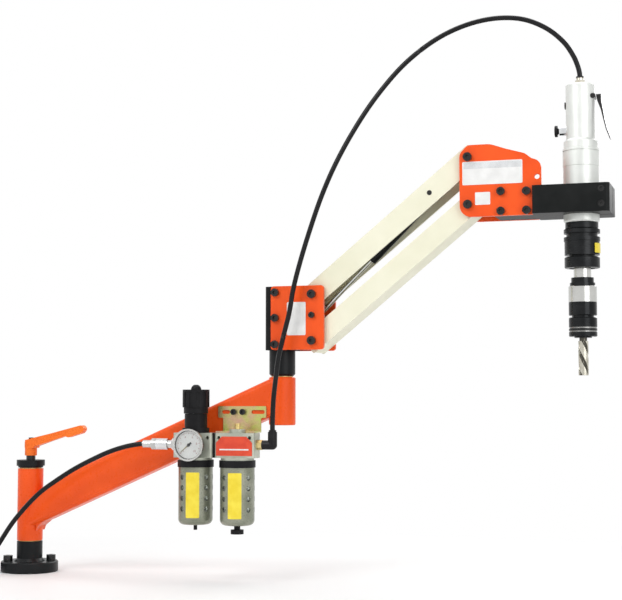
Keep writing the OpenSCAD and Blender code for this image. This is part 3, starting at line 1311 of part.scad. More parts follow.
// Slotted T-shaped bracket that hangs the unit on the arm's front face
module bracket_slot(x, l, a, b) {
    for (k = [-1, 1]) cross_rod(bracket_slot_w, x + k * (l - bracket_slot_w) / 2, bracket_screw_z, a, b);
    translate([x - (l - bracket_slot_w) / 2, a, bracket_screw_z - bracket_slot_w / 2])
        cube([l - bracket_slot_w, b - a, bracket_slot_w]);
}
module air_bracket() color("#b9b06a") {
    back = -arm_w / 2 - seat;
    top = bracket_low_z + bracket_h;
    difference() {
        upright(rounded([
            [bracket_x - bracket_w / 2, bracket_low_z, 0], [bracket_x + bracket_w / 2, bracket_low_z, 0],
            [bracket_x + bracket_w / 2, top - bracket_ear_h, bracket_r],
            [bracket_x + bracket_ear_w / 2, top - bracket_ear_h, bracket_r],
            [bracket_x + bracket_ear_w / 2, top, bracket_r], [bracket_x - bracket_ear_w / 2, top, bracket_r],
            [bracket_x - bracket_ear_w / 2, top - bracket_ear_h, bracket_r],
            [bracket_x - bracket_w / 2, top - bracket_ear_h, bracket_r]
        ]), back - bracket_t, back);
        for (i = [-1, 1]) cross_rod(bracket_screw_d + 2 * run, bracket_screw_x + i * bracket_screw_pitch / 2,
            bracket_screw_z, back - bracket_t - over, back + over);
        bracket_slot(bracket_x - bracket_ear_w / 2 + bracket_slot_in, bracket_short_slot_l,
            back - bracket_t - over, back + over);
        bracket_slot(bracket_x + bracket_ear_w / 2 - bracket_slot_in, bracket_slot_l, back - bracket_t - over,
            back + over);
    }
    difference() {
        translate([bracket_x - bracket_w / 2, -unit_y, bracket_low_z]) cube([bracket_w, unit_y + back,
            bracket_t]);
        at_unit(lube_x) rod(dome_d + 2 * run, bracket_low_z - over, bracket_low_z + bracket_t + over);
    }
}
module bracket_screws() color("#1b1c1d") for (i = [-1, 1])
    side_screw(bracket_screw_x + i * bracket_screw_pitch / 2, bracket_screw_z, -1,
        arm_w / 2 + bracket_t + seat, bracket_screw_d, bracket_screw_l - seat, bracket_head_d, bracket_head_h,
        small_hex, side_hex_deep);

// Hoses, and the coil of spare supply hose with its plug
delivery_rings = hose_rings * (len(delivery_route) - 1);
delivery_path = samples(delivery_route, delivery_rings);
module supply_hose() hose(samples(supply_route, supply_rings), 0, supply_rings);
module hose_riser() hose(delivery_path, 0, hose_rings * arch_start);
module hose_arch() hose(delivery_path, hose_rings * arch_start, hose_rings * drop_start);
module hose_drop() hose(delivery_path, hose_rings * drop_start, delivery_rings);
// The coil winds in and climbs a layer where it turns back, then winds out and comes down to the bench
function coil_point(turn) =
    let (in = min(turn, coil_turns - turn), a = -90 - 360 * turn,
         climb = max(0, min(1, (turn - coil_turns / 2) * 2 + 0.5)), rise = climb * climb * (3 - 2 * climb),
         roll = 90 * max(0, turn - coil_turns + coil_roll_share) / coil_roll_share,
         r = coil_outer_r - coil_pitch * in + coil_climb * sin(roll),
         drop = (coil_climb - plug_d / 2 + hose_d / 2) * (1 - cos(roll)))
    [coil_x + r * cos(a), coil_y + r * sin(a), coil_lift + coil_climb * rise - drop];
coil_steps = ceil(coil_turns * coil_rings);
coil_points = [for (i = [0:coil_steps]) coil_point(coil_turns * i / coil_steps)];
coil_end = coil_points[coil_steps];
coil_path = concat(coil_points, [for (k = [1, 2]) coil_end + k * [0, hose_d, 0]]);
// Least distance between points of the coil that lie over half a turn apart, less the hose's diameter
coil_gap = min([
    for (i = [0:coil_steps]) for (k = [i + coil_rings / 2:coil_steps]) norm(coil_points[i] - coil_points[k])
]) - hose_d;
echo(coil_least_gap = coil_gap);
module supply_coil() color("#1c1f20") tube_along(coil_path, 0, coil_steps + 2, hose_d / 2, coil_sides,
    [0, 0, 1]);
// Plug on the hose's end: a nut over the hose, and a grooved nose that a coupling takes
module hose_plug() color("#b7babb") translate(coil_end + [0, hose_d + hose_d / 4, 0]) rotate([-90, 0,
    0]) difference() {
    union() {
        rod(plug_d, 0, plug_l);
        rod(plug_nose_d, plug_l - over, plug_l + plug_nose_l);
    }
    rod(hose_d + 2 * seat, -over, hose_d);
    difference() {
        rod(plug_d, plug_l + plug_groove_in, plug_l + plug_groove_in + plug_groove_w);
        rod(plug_groove_d, plug_l, plug_l + plug_nose_l);
    }
}

base_flange();
base_bolts();
clamp_cap();
clamp_stud();
clamp_lever();
arm_casting();
arm_bushes();
air_bracket();
bracket_screws();
regulator_body();
regulator_bonnet();
regulator_spindle();
regulator_knob();
gauge_case();
gauge_lens();
gauge_needle();
lubricator_body();
oil_screw();
unit_spacer();
bowl_rings();
bowl_guards();
clear_bowls();
filter_drain();
oil_drain();
hose_coupling();
coupling_sleeve();
outlet_elbow();
swivel_shaft();
shaft_retainer();
swivel_collar();
knuckle_block();
knuckle_plates();
knuckle_bolts();
upper_channel();
upper_link_bushes();
strut_pin();
lower_channel();
lower_link_bushes();
strut_cylinder();
strut_rod();
head_plates();
head_bolts();
head_block();
motor_housing();
motor_head();
inlet_fitting();
button_guide();
reverse_button();
throttle_lever();
chuck_body();
chuck_sleeve();
tap_adapter();
adapter_collar();
tap();
supply_hose();
supply_coil();
hose_plug();
hose_riser();
hose_arch();
hose_drop();
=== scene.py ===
import math
import bpy
import numpy as np
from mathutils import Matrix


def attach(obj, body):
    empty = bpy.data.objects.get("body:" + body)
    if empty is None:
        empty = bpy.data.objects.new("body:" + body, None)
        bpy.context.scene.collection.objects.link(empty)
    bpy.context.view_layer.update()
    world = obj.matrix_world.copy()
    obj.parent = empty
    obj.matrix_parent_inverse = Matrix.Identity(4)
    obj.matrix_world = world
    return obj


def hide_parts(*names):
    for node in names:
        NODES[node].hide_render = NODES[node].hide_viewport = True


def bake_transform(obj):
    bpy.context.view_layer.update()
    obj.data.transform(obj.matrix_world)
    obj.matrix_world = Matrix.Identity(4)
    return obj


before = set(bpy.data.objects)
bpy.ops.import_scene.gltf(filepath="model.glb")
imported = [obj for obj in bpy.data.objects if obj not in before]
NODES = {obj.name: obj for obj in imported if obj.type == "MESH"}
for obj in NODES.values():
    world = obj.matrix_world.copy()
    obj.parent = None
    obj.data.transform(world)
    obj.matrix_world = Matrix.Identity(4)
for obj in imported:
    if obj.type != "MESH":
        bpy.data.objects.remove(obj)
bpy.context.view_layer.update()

# Camera: a long lens at bench height, turned from the arm's front and tilted a little
# upwards, as the photograph was taken. The focal length is in pixels of its width.
PHOTO_WIDTH = 622
FOCAL_LENGTH = 1450
SENSOR_WIDTH = 36
CAMERA_PLACE = (1.227587, -2.272357, 0.295305)
CAMERA_TILT, CAMERA_TURN = 3.945, 17.5
camera_data = bpy.data.cameras.new("camera")
camera_data.sensor_width = SENSOR_WIDTH
camera_data.lens = FOCAL_LENGTH / PHOTO_WIDTH * SENSOR_WIDTH
camera_data.clip_start, camera_data.clip_end = 0.1, 50
camera = bpy.data.objects.new("camera", camera_data)
camera.location = CAMERA_PLACE
camera.rotation_euler = (math.radians(90 + CAMERA_TILT), 0, math.radians(CAMERA_TURN))
bpy.context.scene.collection.objects.link(camera)
bpy.context.scene.camera = camera


# Base and clamp: the flange and its post are one steel turning in satin black enamel,
# held to the bench by black socket head bolts. The stud above is oiled black steel, and
# the adjustable lever on it is a die casting in a paler orange powder coat.
def wire(tree, *pairs):
    """Links each output socket to its input socket."""
    for source, goal in pairs:
        tree.links.new(source, goal)


def shared_group(name, inputs, outputs):
    """An empty node group with its sockets; returns the tree and its two ends."""
    tree = bpy.data.node_groups.new(name, "ShaderNodeTree")
    for label, kind, value in inputs:
        socket = tree.interface.new_socket(label, in_out="INPUT", socket_type=kind)
        if value is not None:
            socket.default_value = value
    for label in outputs:
        tree.interface.new_socket(label, in_out="OUTPUT", socket_type="NodeSocketFloat")
    return tree, tree.nodes.new("NodeGroupInput"), tree.nodes.new("NodeGroupOutput")


def noise(tree, detail, vector, scale):
    """Noise at a place, with its scale taken from a socket."""
    node = tree.nodes.new("ShaderNodeTexNoise")
    node.inputs["Detail"].default_value = detail
    wire(tree, (vector, node.inputs["Vector"]), (scale, node.inputs["Scale"]))
    return node.outputs["Fac"]


def grain_group():
    """Two sizes of noise: a broad cloud for colour and a fine one for height."""
    tree, ins, outs = shared_group(
        "surface_grain", [("Broad", "NodeSocketFloat", 25), ("Fine", "NodeSocketFloat", 900)],
        ["Cloud", "Height"])
    place = tree.nodes.new("ShaderNodeTexCoord").outputs["Object"]
    wire(tree, (noise(tree, 4, place, ins.outputs["Broad"]), outs.inputs["Cloud"]),
         (noise(tree, 2, place, ins.outputs["Fine"]), outs.inputs["Height"]))
    return tree


GRAIN = grain_group()
NOISE_LOW, NOISE_HIGH = 0.35, 0.65


def place_group(tree, group, **values):
    """A shared group in a material, with its own values."""
    node = tree.nodes.new("ShaderNodeGroup")
    node.node_tree = group
    for label, value in values.items():
        node.inputs[label].default_value = value
    return node


def new_material(name):
    """An empty material with its Principled shader."""
    material = bpy.data.materials.new(name)
    material.use_nodes = True
    tree = material.node_tree
    return material, tree, tree.nodes["Principled BSDF"]


def spread(tree, source, low, high):
    """Maps the range in which a noise mostly lies to the range from low to high."""
    node = tree.nodes.new("ShaderNodeMapRange")
    node.inputs["From Min"].default_value = NOISE_LOW
    node.inputs["From Max"].default_value = NOISE_HIGH
    node.inputs["To Min"].default_value = low
    node.inputs["To Max"].default_value = high
    wire(tree, (source, node.inputs["Value"]))
    return node.outputs["Result"]


def two_colours(tree, cloud, dark, light):
    """Mixes two colours by the broad noise."""
    node = tree.nodes.new("ShaderNodeMix")
    node.data_type = "RGBA"
    node.inputs["A"].default_value = (*dark, 1)
    node.inputs["B"].default_value = (*light, 1)
    wire(tree, (spread(tree, cloud, 0, 1), node.inputs["Factor"]))
    return node.outputs["Result"]


def finish(name, dark, light, rough, metallic=0.0, fine=900, broad=25, bump=0.05, depth=0.0002,
           coat=0.0, coat_rough=0.1, gloss=0.3, lines=None):
    """A surface with cloudy colour, varied roughness and a fine height.

    lines, where given, adds another height to the material in place of the grain.
    """
    material, tree, shader = new_material(name)
    grain = place_group(tree, GRAIN, Broad=broad, Fine=fine)
    height = lines(tree) if lines else grain.outputs["Height"]
    relief = tree.nodes.new("ShaderNodeBump")
    relief.inputs["Strength"].default_value = bump
    relief.inputs["Distance"].default_value = depth
    wire(tree, (two_colours(tree, grain.outputs["Cloud"], dark, light), shader.inputs["Base Color"]),
         (spread(tree, height, *rough), shader.inputs["Roughness"]),
         (height, relief.inputs["Height"]), (relief.outputs["Normal"], shader.inputs["Normal"]))
    shader.inputs["Metallic"].default_value = metallic
    shader.inputs["Coat Weight"].default_value = coat
    shader.inputs["Coat Roughness"].default_value = coat_rough
    shader.inputs["Specular IOR Level"].default_value = gloss
    return material


def dress(material, *names):
    """Gives CAD nodes a material in their own slots."""
    for name in names:
        piece = NODES[name]
        if not piece.material_slots:
            piece.data.materials.append(material)
        for slot in piece.material_slots:
            slot.material = material


black_enamel = finish("black_enamel", (0.006, 0.007, 0.008), (0.012, 0.013, 0.014), (0.28, 0.42),
                      fine=600, broad=20, bump=0.08, depth=0.0003, coat=0.06, coat_rough=0.2, gloss=0.12)
black_oxide = finish("black_oxide", (0.010, 0.010, 0.010), (0.022, 0.022, 0.022), (0.20, 0.34),
                     metallic=0.75, fine=1400, broad=60, bump=0.05, depth=0.0001, coat=0.5)
lever_orange = finish("lever_orange", (0.86, 0.150, 0.014), (0.92, 0.19, 0.022), (0.34, 0.48),
                      fine=520, broad=30, bump=0.12, depth=0.0004, coat=0.08, coat_rough=0.2, gloss=0.22)
dress(black_enamel, "base_flange", "clamp_cap")
dress(black_oxide, "base_bolts", "clamp_stud")
dress(lever_orange, "clamp_lever")

# Lower arm: one casting of column, sloping arm and elbow tube, in thick glossy orange
# enamel that still shows the sand mould's grain. Plain bronze bushes are pressed into
# both ends.
cast_orange = finish("cast_orange", (0.80, 0.080, 0.008), (0.88, 0.100, 0.012), (0.26, 0.38),
                     fine=260, broad=14, bump=0.10, depth=0.0005, coat=0.12, coat_rough=0.12, gloss=0.18)
bronze = finish("bronze", (0.42, 0.26, 0.10), (0.54, 0.36, 0.16), (0.28, 0.42),
                metallic=0.95, fine=1200, broad=80, depth=0.0001)
dress(cast_orange, "arm_casting")
dress(bronze, "arm_bushes")


# Elbow: a ground shaft turns in the arm's end under a black collar. It carries a block
# of black anodised aluminium between two orange steel plates, and a printed sticker
# lies on the front plate.
def turned_group():
    """Fine rings along an axis: noise at the place times a stretch that is large along that axis."""
    tree, ins, outs = shared_group(
        "turned_lines", [("Stretch", "NodeSocketVector", None), ("Scale", "NodeSocketFloat", 1)],
        ["Lines"])
    place = tree.nodes.new("ShaderNodeTexCoord").outputs["Object"]
    stretched = tree.nodes.new("ShaderNodeVectorMath")
    stretched.operation = "MULTIPLY"
    wire(tree, (place, stretched.inputs[0]), (ins.outputs["Stretch"], stretched.inputs[1]),
         (noise(tree, 3, stretched.outputs[0], ins.outputs["Scale"]), outs.inputs["Lines"]))
    return tree


TURNED = turned_group()


def turned_lines(stretch, scale):
    """The turned lines as the height of a finish, in place of the grain."""
    return lambda tree: place_group(tree, TURNED, Stretch=stretch, Scale=scale).outputs["Lines"]


plate_orange = finish("plate_orange", (0.80, 0.080, 0.009), (0.88, 0.098, 0.012), (0.30, 0.42),
                      fine=700, broad=18, bump=0.06, depth=0.0003, coat=0.10, coat_rough=0.14, gloss=0.2)
black_anodised = finish("black_anodised", (0.007, 0.008, 0.008), (0.012, 0.013, 0.013), (0.36, 0.50),
                        fine=1500, broad=30, depth=0.0001, gloss=0.1)
ground_steel = finish("ground_steel", (0.50, 0.50, 0.49), (0.64, 0.64, 0.63), (0.16, 0.30),
                      metallic=0.95, broad=40, bump=0.06, depth=0.0001, lines=turned_lines((5, 5, 700), 1.3))
dress(ground_steel, "swivel_shaft")
dress(black_enamel, "swivel_collar")
dress(black_oxide, "shaft_retainer", "knuckle_bolts")
dress(black_anodised, "knuckle_block")
dress(plate_orange, "knuckle_plates")

FOIL_THICK, PRINT_THICK = 0.0003, 0.0001
CORNER_STEPS, SIDE_STEPS, SHEET_ROWS = 7, 9, 9
PLATE_Y = -0.03605


def new_mesh(name, vertices, faces, smooth=True):
    """A mesh object from points in metres and faces as lists of indices."""
    mesh = bpy.data.meshes.new(name)
    points = np.asarray(vertices, float).tolist()
    mesh.from_pydata([tuple(point) for point in points], [], [tuple(face) for face in faces])
    mesh.polygons.foreach_set("use_smooth", [smooth] * len(mesh.polygons))
    mesh.update()
    piece = bpy.data.objects.new(name, mesh)
    bpy.context.scene.collection.objects.link(piece)
    return piece


def grid_faces(rows, columns, closed=True):
    """Quads between rows of points, each row joined round to its own start where it is closed."""
    start = np.arange(rows - 1)[:, None] * columns
    here = np.arange(columns if closed else columns - 1)[None, :]
    after = (here + 1) % columns
    quads = [start + here, start + after, start + columns + after, start + columns + here]
    return np.stack(quads, -1).reshape(-1, 4)


def foil(name, width, height, corner, place, thick=FOIL_THICK):
    """A thin sheet: its half height at x is half the height, less the corner circle's gap near both ends.

    place maps across, up and out to a point in metres. A strip of its own closes the edge.
    """
    edge = width / 2 - corner + corner * np.sin(np.radians(np.linspace(0, 90, CORNER_STEPS)))
    x = np.concatenate([-edge[::-1], np.linspace(-edge[0], edge[0], SIDE_STEPS)[1:-1], edge])
    past = np.maximum(np.abs(x) - edge[0], 0) / corner
    half = height / 2 - corner + corner * np.sqrt(np.maximum(1 - past**2, 0))
    flat = np.stack([np.stack([x, share * half], 1) for share in np.linspace(-1, 1, SHEET_ROWS)])
    loop = np.vstack([flat[0], flat[1:, -1], flat[-1, -2::-1], flat[-2:0:-1, 0]])
    sheet = flat.reshape(-1, 2)
    points = [place(sheet[:, 0], sheet[:, 1], np.full(len(sheet), thick))]
    points += [place(loop[:, 0], loop[:, 1], np.full(len(loop), out)) for out in (0.0, thick)]
    faces = grid_faces(SHEET_ROWS, len(x), closed=False).tolist()
    faces += (grid_faces(2, len(loop)) + len(sheet)).tolist()
    return new_mesh(name, np.vstack(points), faces)


def on_front(x, z, y):
    """Places a sheet on a face that looks to -Y, centred at x and z."""
    return lambda across, up, out: np.stack([x + across, y - out, z + up], 1)


def printed(name, dark, light, rough, broad=60, metallic=0.0):
    """Glossy printed foil."""
    return finish(name, dark, light, rough, metallic=metallic, fine=1200, broad=broad, bump=0.03,
                  depth=0.0001, coat=0.2)


def stick(piece, body, material):
    """Lays a sheet on a body, in the given material."""
    piece.data.materials.append(material)
    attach(piece, body)


white_foil = printed("white_foil", (0.74, 0.74, 0.73), (0.82, 0.82, 0.81), (0.28, 0.40))
stick(foil("knuckle_sticker", 0.032, 0.054, 0.002, on_front(0.4973, 0.4272, PLATE_Y)),
      "swivel", white_foil)

# Links and strut: two pressed channels in cream enamel on bronze bushes. The gas strut
# between them has a black enamelled cylinder and a chromed rod.
cream_enamel = finish("cream_enamel", (0.76, 0.745, 0.575), (0.82, 0.805, 0.645), (0.34, 0.48),
                      fine=600, broad=12, bump=0.08, depth=0.0003, coat=0.1, coat_rough=0.2, gloss=0.2)
chrome = finish("chrome", (0.66, 0.67, 0.68), (0.76, 0.77, 0.78), (0.08, 0.18),
                metallic=1.0, fine=1500, broad=60, bump=0.03, depth=0.0001)
dress(cream_enamel, "upper_channel", "lower_channel")
dress(bronze, "upper_link_bushes", "lower_link_bushes")
dress(black_enamel, "strut_cylinder")
dress(chrome, "strut_rod")
dress(black_oxide, "strut_pin")

# Head: two orange side plates, screwed to the links and to the black anodised clamp
# block. The front plate carries a long white label with a grey band along its top and
# a small square sticker.
dress(plate_orange, "head_plates")
dress(black_oxide, "head_bolts")
dress(black_anodised, "head_block")
LABEL_X = 0.8205
grey_foil = printed("grey_foil", (0.56, 0.57, 0.58), (0.70, 0.71, 0.72), (0.26, 0.38),
                    broad=50, metallic=0.2)
stick(foil("head_label", 0.095, 0.037, 0.002, on_front(LABEL_X, 0.6515, PLATE_Y)),
      "head", white_foil)
stick(foil("head_label_band", 0.092, 0.010, 0.001,
           on_front(LABEL_X, 0.6635, PLATE_Y - FOIL_THICK), PRINT_THICK),
      "head", grey_foil)
stick(foil("head_sticker", 0.024, 0.020, 0.0015, on_front(0.805, 0.611, PLATE_Y)),
      "head", white_foil)


# Air motor: a turned alloy body in two lengths with a satin face. The inlet on top is
# nickel plated with a black release ring, and the lever, the button and its guide are
# screwed into the side.
def distance(tree, shift, scale):
    """The length of the piece's coordinates, once they are scaled and shifted."""
    place = tree.nodes.new("ShaderNodeTexCoord").outputs["Object"]
    moved = tree.nodes.new("ShaderNodeMapping")
    moved.inputs["Location"].default_value = shift
    moved.inputs["Scale"].default_value = scale
    length = tree.nodes.new("ShaderNodeVectorMath")
    length.operation = "LENGTH"
    wire(tree, (place, moved.inputs["Vector"]), (moved.outputs["Vector"], length.inputs[0]))
    return length.outputs["Value"]


def along(tree, axis):
    """The piece's coordinates along an axis, as their dot product with it."""
    place = tree.nodes.new("ShaderNodeTexCoord").outputs["Object"]
    product = tree.nodes.new("ShaderNodeVectorMath")
    product.operation = "DOT_PRODUCT"
    product.inputs[1].default_value = axis
    wire(tree, (place, product.inputs[0]))
    return product.outputs["Value"]


def larger(tree, one, other):
    """The larger of two values."""
    node = tree.nodes.new("ShaderNodeMath")
    node.operation = "MAXIMUM"
    wire(tree, (one, node.inputs[0]), (other, node.inputs[1]))
    return node.outputs[0]


def zone(material, name, axis, spans, dark, light, metallic, centre=None):
    """Dresses a node in a material that has other colours where the place along an axis is in a span.

    Spans are in metres. With a centre, the distance from an upright line through it takes the
    place's part.
    """
    piece = NODES[name]
    tree = material.node_tree
    shader = tree.nodes["Principled BSDF"]
    if centre:
        origin = 0
        shift = [-float(centre[k] - piece.matrix_world.translation[k]) for k in (0, 1)] + [0]
        value = distance(tree, shift, (1, 1, 0))
    else:
        origin = float(np.dot(axis, piece.matrix_world.translation))
        value = along(tree, axis)
    mask = None
    for low, high in spans:
        inside = tree.nodes.new("ShaderNodeMath")
        inside.operation = "COMPARE"
        inside.inputs[1].default_value = (low + high) / 2 - origin
        inside.inputs[2].default_value = (high - low) / 2
        wire(tree, (value, inside.inputs[0]))
        mask = larger(tree, mask, inside.outputs[0]) if mask else inside.outputs[0]
    cloud = place_group(tree, GRAIN).outputs["Cloud"]
    mix = tree.nodes.new("ShaderNodeMix")
    mix.data_type = "RGBA"
    first = shader.inputs["Base Color"].links[0].from_socket
    wire(tree, (mask, mix.inputs["Factor"]), (first, mix.inputs["A"]),
         (two_colours(tree, cloud, dark, light), mix.inputs["B"]),
         (mix.outputs["Result"], shader.inputs["Base Color"]))
    metal = tree.nodes.new("ShaderNodeMapRange")
    metal.inputs["To Min"].default_value = shader.inputs["Metallic"].default_value
    metal.inputs["To Max"].default_value = metallic
    wire(tree, (mask, metal.inputs["Value"]), (metal.outputs["Result"], shader.inputs["Metallic"]))
    dress(material, name)


UPRIGHT = (0, 0, 1)
RELEASE_RING = (0.7996, 0.81)
MOULDED_BLACK = ((0.008, 0.008, 0.009), (0.014, 0.014, 0.015))
motor_alloy = finish("motor_alloy", (0.68, 0.70, 0.67), (0.76, 0.78, 0.75), (0.32, 0.44),
                     metallic=0.35, broad=20, bump=0.03, depth=0.0001, lines=turned_lines((4, 4, 500), 1.2))
inlet_nickel = finish("inlet_nickel", (0.58, 0.54, 0.44), (0.70, 0.67, 0.58), (0.14, 0.26),
                      metallic=1.0, fine=1300, broad=60, bump=0.04, depth=0.0001)
black_moulded = finish("black_moulded", *MOULDED_BLACK, (0.38, 0.54),
                       fine=1800, broad=40, bump=0.08, depth=0.00015, gloss=0.12)
dress(motor_alloy, "motor_housing", "motor_head")
dress(black_oxide, "throttle_lever")
dress(chrome, "button_guide")
dress(black_moulded, "reverse_button")
zone(inlet_nickel, "inlet_fitting", UPRIGHT, [RELEASE_RING], *MOULDED_BLACK, 0.1)

# Chuck, adapter and tap: turned steel in oiled black oxide, bright where the adapter's
# shank and hexagon are ground. Two grooves are cut into the adapter's collar, with painted
# highlights as bright rings on them, and painted shade darkens the tap's flutes near its core.
CHUCK_X, TAP_X = 0.9542, 0.95419
CHUCK_R = 0.02805
BRIGHT = ((0.52, 0.52, 0.50), (0.64, 0.64, 0.62))
# Heights of the collar's two cut grooves, where a lighter metal band stands in for their glint: a painted
# highlight.
COLLAR_GLINT_RINGS = [(0.4002, 0.4026), (0.4057, 0.4081)]
SHANK_AND_HEXAGON = [(0.4469, 0.4718), (0.4850, 0.56)]
# Radius from the tap's axis within which its colour is darker: painted shade in the flutes, in place of
# occlusion.
FLUTE_SHADE = (0, 0.0065)
CHUCK_LABEL_TURN = 341


def turned_black(name):
    """Black oxide on turned steel, with the rings that the tool leaves."""
    return finish(name, (0.008, 0.009, 0.010), (0.018, 0.019, 0.020), (0.22, 0.38), metallic=0.6,
                  broad=40, bump=0.08, depth=0.0001, lines=turned_lines((6, 6, 900), 1.4))


def round_axis(x, y, z, radius, turn):
    """Wraps a sheet round an upright axis; turn is the angle of its middle from +X, in degrees."""
    def place(across, up, out):
        angle = np.radians(turn) + across / radius
        reach = radius + out
        return np.stack([x + reach * np.cos(angle), y + reach * np.sin(angle), z + up], 1)
    return place


adapter_steel = finish("adapter_steel", (0.012, 0.013, 0.014), (0.026, 0.027, 0.028), (0.14, 0.26),
                       metallic=0.8, broad=40, depth=0.0001, lines=turned_lines((5, 5, 700), 1.3))
tap_steel = finish("tap_steel", (0.46, 0.44, 0.37), (0.64, 0.62, 0.54), (0.16, 0.32),
                   metallic=1.0, fine=1400, broad=120, depth=0.0001)
yellow_foil = printed("yellow_foil", (0.80, 0.62, 0.03), (0.88, 0.72, 0.06), (0.30, 0.42))
dress(turned_black("black_turned"), "chuck_body", "chuck_sleeve")
# The collar is black with two lighter rings over its grooves: the grooves are real, their brightness is a
# painted highlight.
zone(turned_black("collar_black"), "adapter_collar", UPRIGHT, COLLAR_GLINT_RINGS,
     (0.24, 0.24, 0.23), (0.34, 0.34, 0.33), 1.0)
zone(adapter_steel, "tap_adapter", UPRIGHT, SHANK_AND_HEXAGON, *BRIGHT, 1.0)
# Painted shade: the tap is darker within a radius of its axis, where its flutes lie.
zone(tap_steel, "tap", None, [FLUTE_SHADE], (0.05, 0.048, 0.04), (0.10, 0.095, 0.08), 0.9, (TAP_X, 0))
stick(foil("chuck_sticker", 0.020, 0.015, 0.001, round_axis(CHUCK_X, 0, 0.530, CHUCK_R, CHUCK_LABEL_TURN)),
      "chuck", yellow_foil)

# Air unit: a filter regulator and a lubricator in die-cast housings, on a bracket of
# yellow zinc plated steel. Punched and painted steel guards hang from black rings round
# the clear bowls, and the knobs and drains are moulded.
FILTER_X, UNIT_Y, UNIT_SPACING = 0.332, -0.058, 0.0725
LUBRICATOR_X = FILTER_X + UNIT_SPACING
GUARD_R, GUARD_LABEL_Z, GUARD_LABEL_TURN = 0.02805, 0.142, 281
LUBRICATOR_FACE_Y = -0.07405
PLATE_W, PLATE_H, PLATE_CUT = 0.062, 0.031, 0.010
ELBOW_THREAD = (0.43, 0.4475)


def clear_plastic(name, colour, rough, weight):
    """Clear moulded plastic with a faint cloud in its gloss."""
    material, tree, shader = new_material(name)
    cloud = place_group(tree, GRAIN).outputs["Cloud"]
    wire(tree, (spread(tree, cloud, rough * 0.6, rough * 1.4), shader.inputs["Roughness"]))
    shader.inputs["Base Color"].default_value = (*colour, 1)
    shader.inputs["Transmission Weight"].default_value = weight
    shader.inputs["IOR"].default_value = 1.46
    return material


def cut_plate(name, place):
    """A flat plate with both upper corners cut off at a slant, and a strip round its edge."""
    side, top = PLATE_W / 2, PLATE_H / 2
    outline = np.array([[-side, -top], [side, -top], [side, top - PLATE_CUT], [side - PLATE_CUT, top],
                        [PLATE_CUT - side, top], [-side, top - PLATE_CUT]])
    count = len(outline)
    across, up = outline.T
    points = [place(across, up, np.full(count, out)) for out in (FOIL_THICK, 0.0, FOIL_THICK)]
    faces = [list(range(count))] + (grid_faces(2, count) + count).tolist()
    return new_mesh(name, np.vstack(points), faces, smooth=False)


zinc = finish("zinc", (0.60, 0.36, 0.27), (0.50, 0.55, 0.15), (0.24, 0.40),
              metallic=0.8, broad=45, bump=0.06, depth=0.0001)
die_cast = finish("die_cast", (0.38, 0.40, 0.33), (0.50, 0.52, 0.44), (0.34, 0.48),
                  metallic=0.45, fine=500, broad=40, bump=0.12, depth=0.0003)
guard_paint = finish("guard_paint", (0.20, 0.215, 0.16), (0.29, 0.30, 0.235), (0.26, 0.40),
                     metallic=0.6, fine=700, broad=30, bump=0.08, coat=0.3, coat_rough=0.2)
brass = finish("brass", (0.62, 0.46, 0.16), (0.76, 0.60, 0.26), (0.20, 0.34),
               metallic=0.95, fine=1200, broad=90, depth=0.0001)
elbow_black = finish("elbow_black", *MOULDED_BLACK, (0.30, 0.44),
                     fine=1800, broad=40, bump=0.06, depth=0.00015, gloss=0.18)
red_foil = printed("red_foil", (0.64, 0.052, 0.022), (0.74, 0.080, 0.032), (0.28, 0.40))
dress(zinc, "air_bracket")
dress(black_oxide, "bracket_screws")
dress(die_cast, "regulator_body", "lubricator_body")
dress(black_moulded, "regulator_bonnet", "regulator_knob", "unit_spacer", "bowl_rings", "filter_drain",
      "oil_drain")
dress(guard_paint, "bowl_guards")
dress(clear_plastic("bowl_plastic", (0.80, 0.84, 0.78), 0.10, 0.85), "clear_bowls")
dress(brass, "oil_screw")
dress(ground_steel, "regulator_spindle", "hose_coupling")
dress(chrome, "coupling_sleeve")
zone(elbow_black, "outlet_elbow", (1, 0, 0), [ELBOW_THREAD], (0.56, 0.42, 0.16), (0.72, 0.58, 0.28), 0.95)
for label, unit_x in (("filter_sticker", FILTER_X), ("lubricator_sticker", LUBRICATOR_X)):
    wrap = round_axis(unit_x, UNIT_Y, GUARD_LABEL_Z, GUARD_R, GUARD_LABEL_TURN)
    stick(foil(label, 0.0225, 0.073, 0.0015, wrap), "lower_arm", yellow_foil)
stick(cut_plate("lubricator_plate", on_front(LUBRICATOR_X, 0.221, LUBRICATOR_FACE_Y)),
      "lower_arm", red_foil)
stick(foil("lubricator_plate_line", 0.050, 0.0022, 0.0008,
           on_front(LUBRICATOR_X, 0.2155, LUBRICATOR_FACE_Y - FOIL_THICK), PRINT_THICK),
      "lower_arm", white_foil)

# Pressure gauge: a black case with a bright pressed rim and a clear lens. A white
# enamelled disc with printed ticks and plain numbers lies on the case's floor, and the
# needle's hub is darker than its brassy tip.
GAUGE = (0.334, -0.09305, 0.223)
DIAL_R, DIAL_SIDES = 0.0222, 96
FIRST_ANGLE, SWEEP = 225, 270
TICKS, TICKS_TO_A_NUMBER = 50, 5
TICK_OUTER_R, LONG_TICK_R, SHORT_TICK_R = 0.0203, 0.0172, 0.0186
LONG_TICK_HALF, SHORT_TICK_HALF = 0.00035, 0.00018
NUMBERS = ["0", "2", "4", "6", "8", "10"]
NUMBER_R, NUMBER_SIZE = 0.0138, 0.0048
RING_SHARES = np.array([1.0, 1.0, 0.97, 0.6, 0.15])
RING_HEIGHTS = np.array([0.0, 0.00004, 0.00006, 0.00006, 0.00006])
CASE_RIM = (-0.099, -0.0931)
NEEDLE_SLANT, NEEDLE_TIP = (0.7071, 0, 0.7071), (0.30, 0.3903)


def on_dial(x, z, out):
    """Points on the dial from places across and up from its centre, and heights in front of it."""
    across, up, front = np.broadcast_arrays(x, z, out)
    return np.stack([GAUGE[0] + across, GAUGE[1] - front, GAUGE[2] + up], -1)


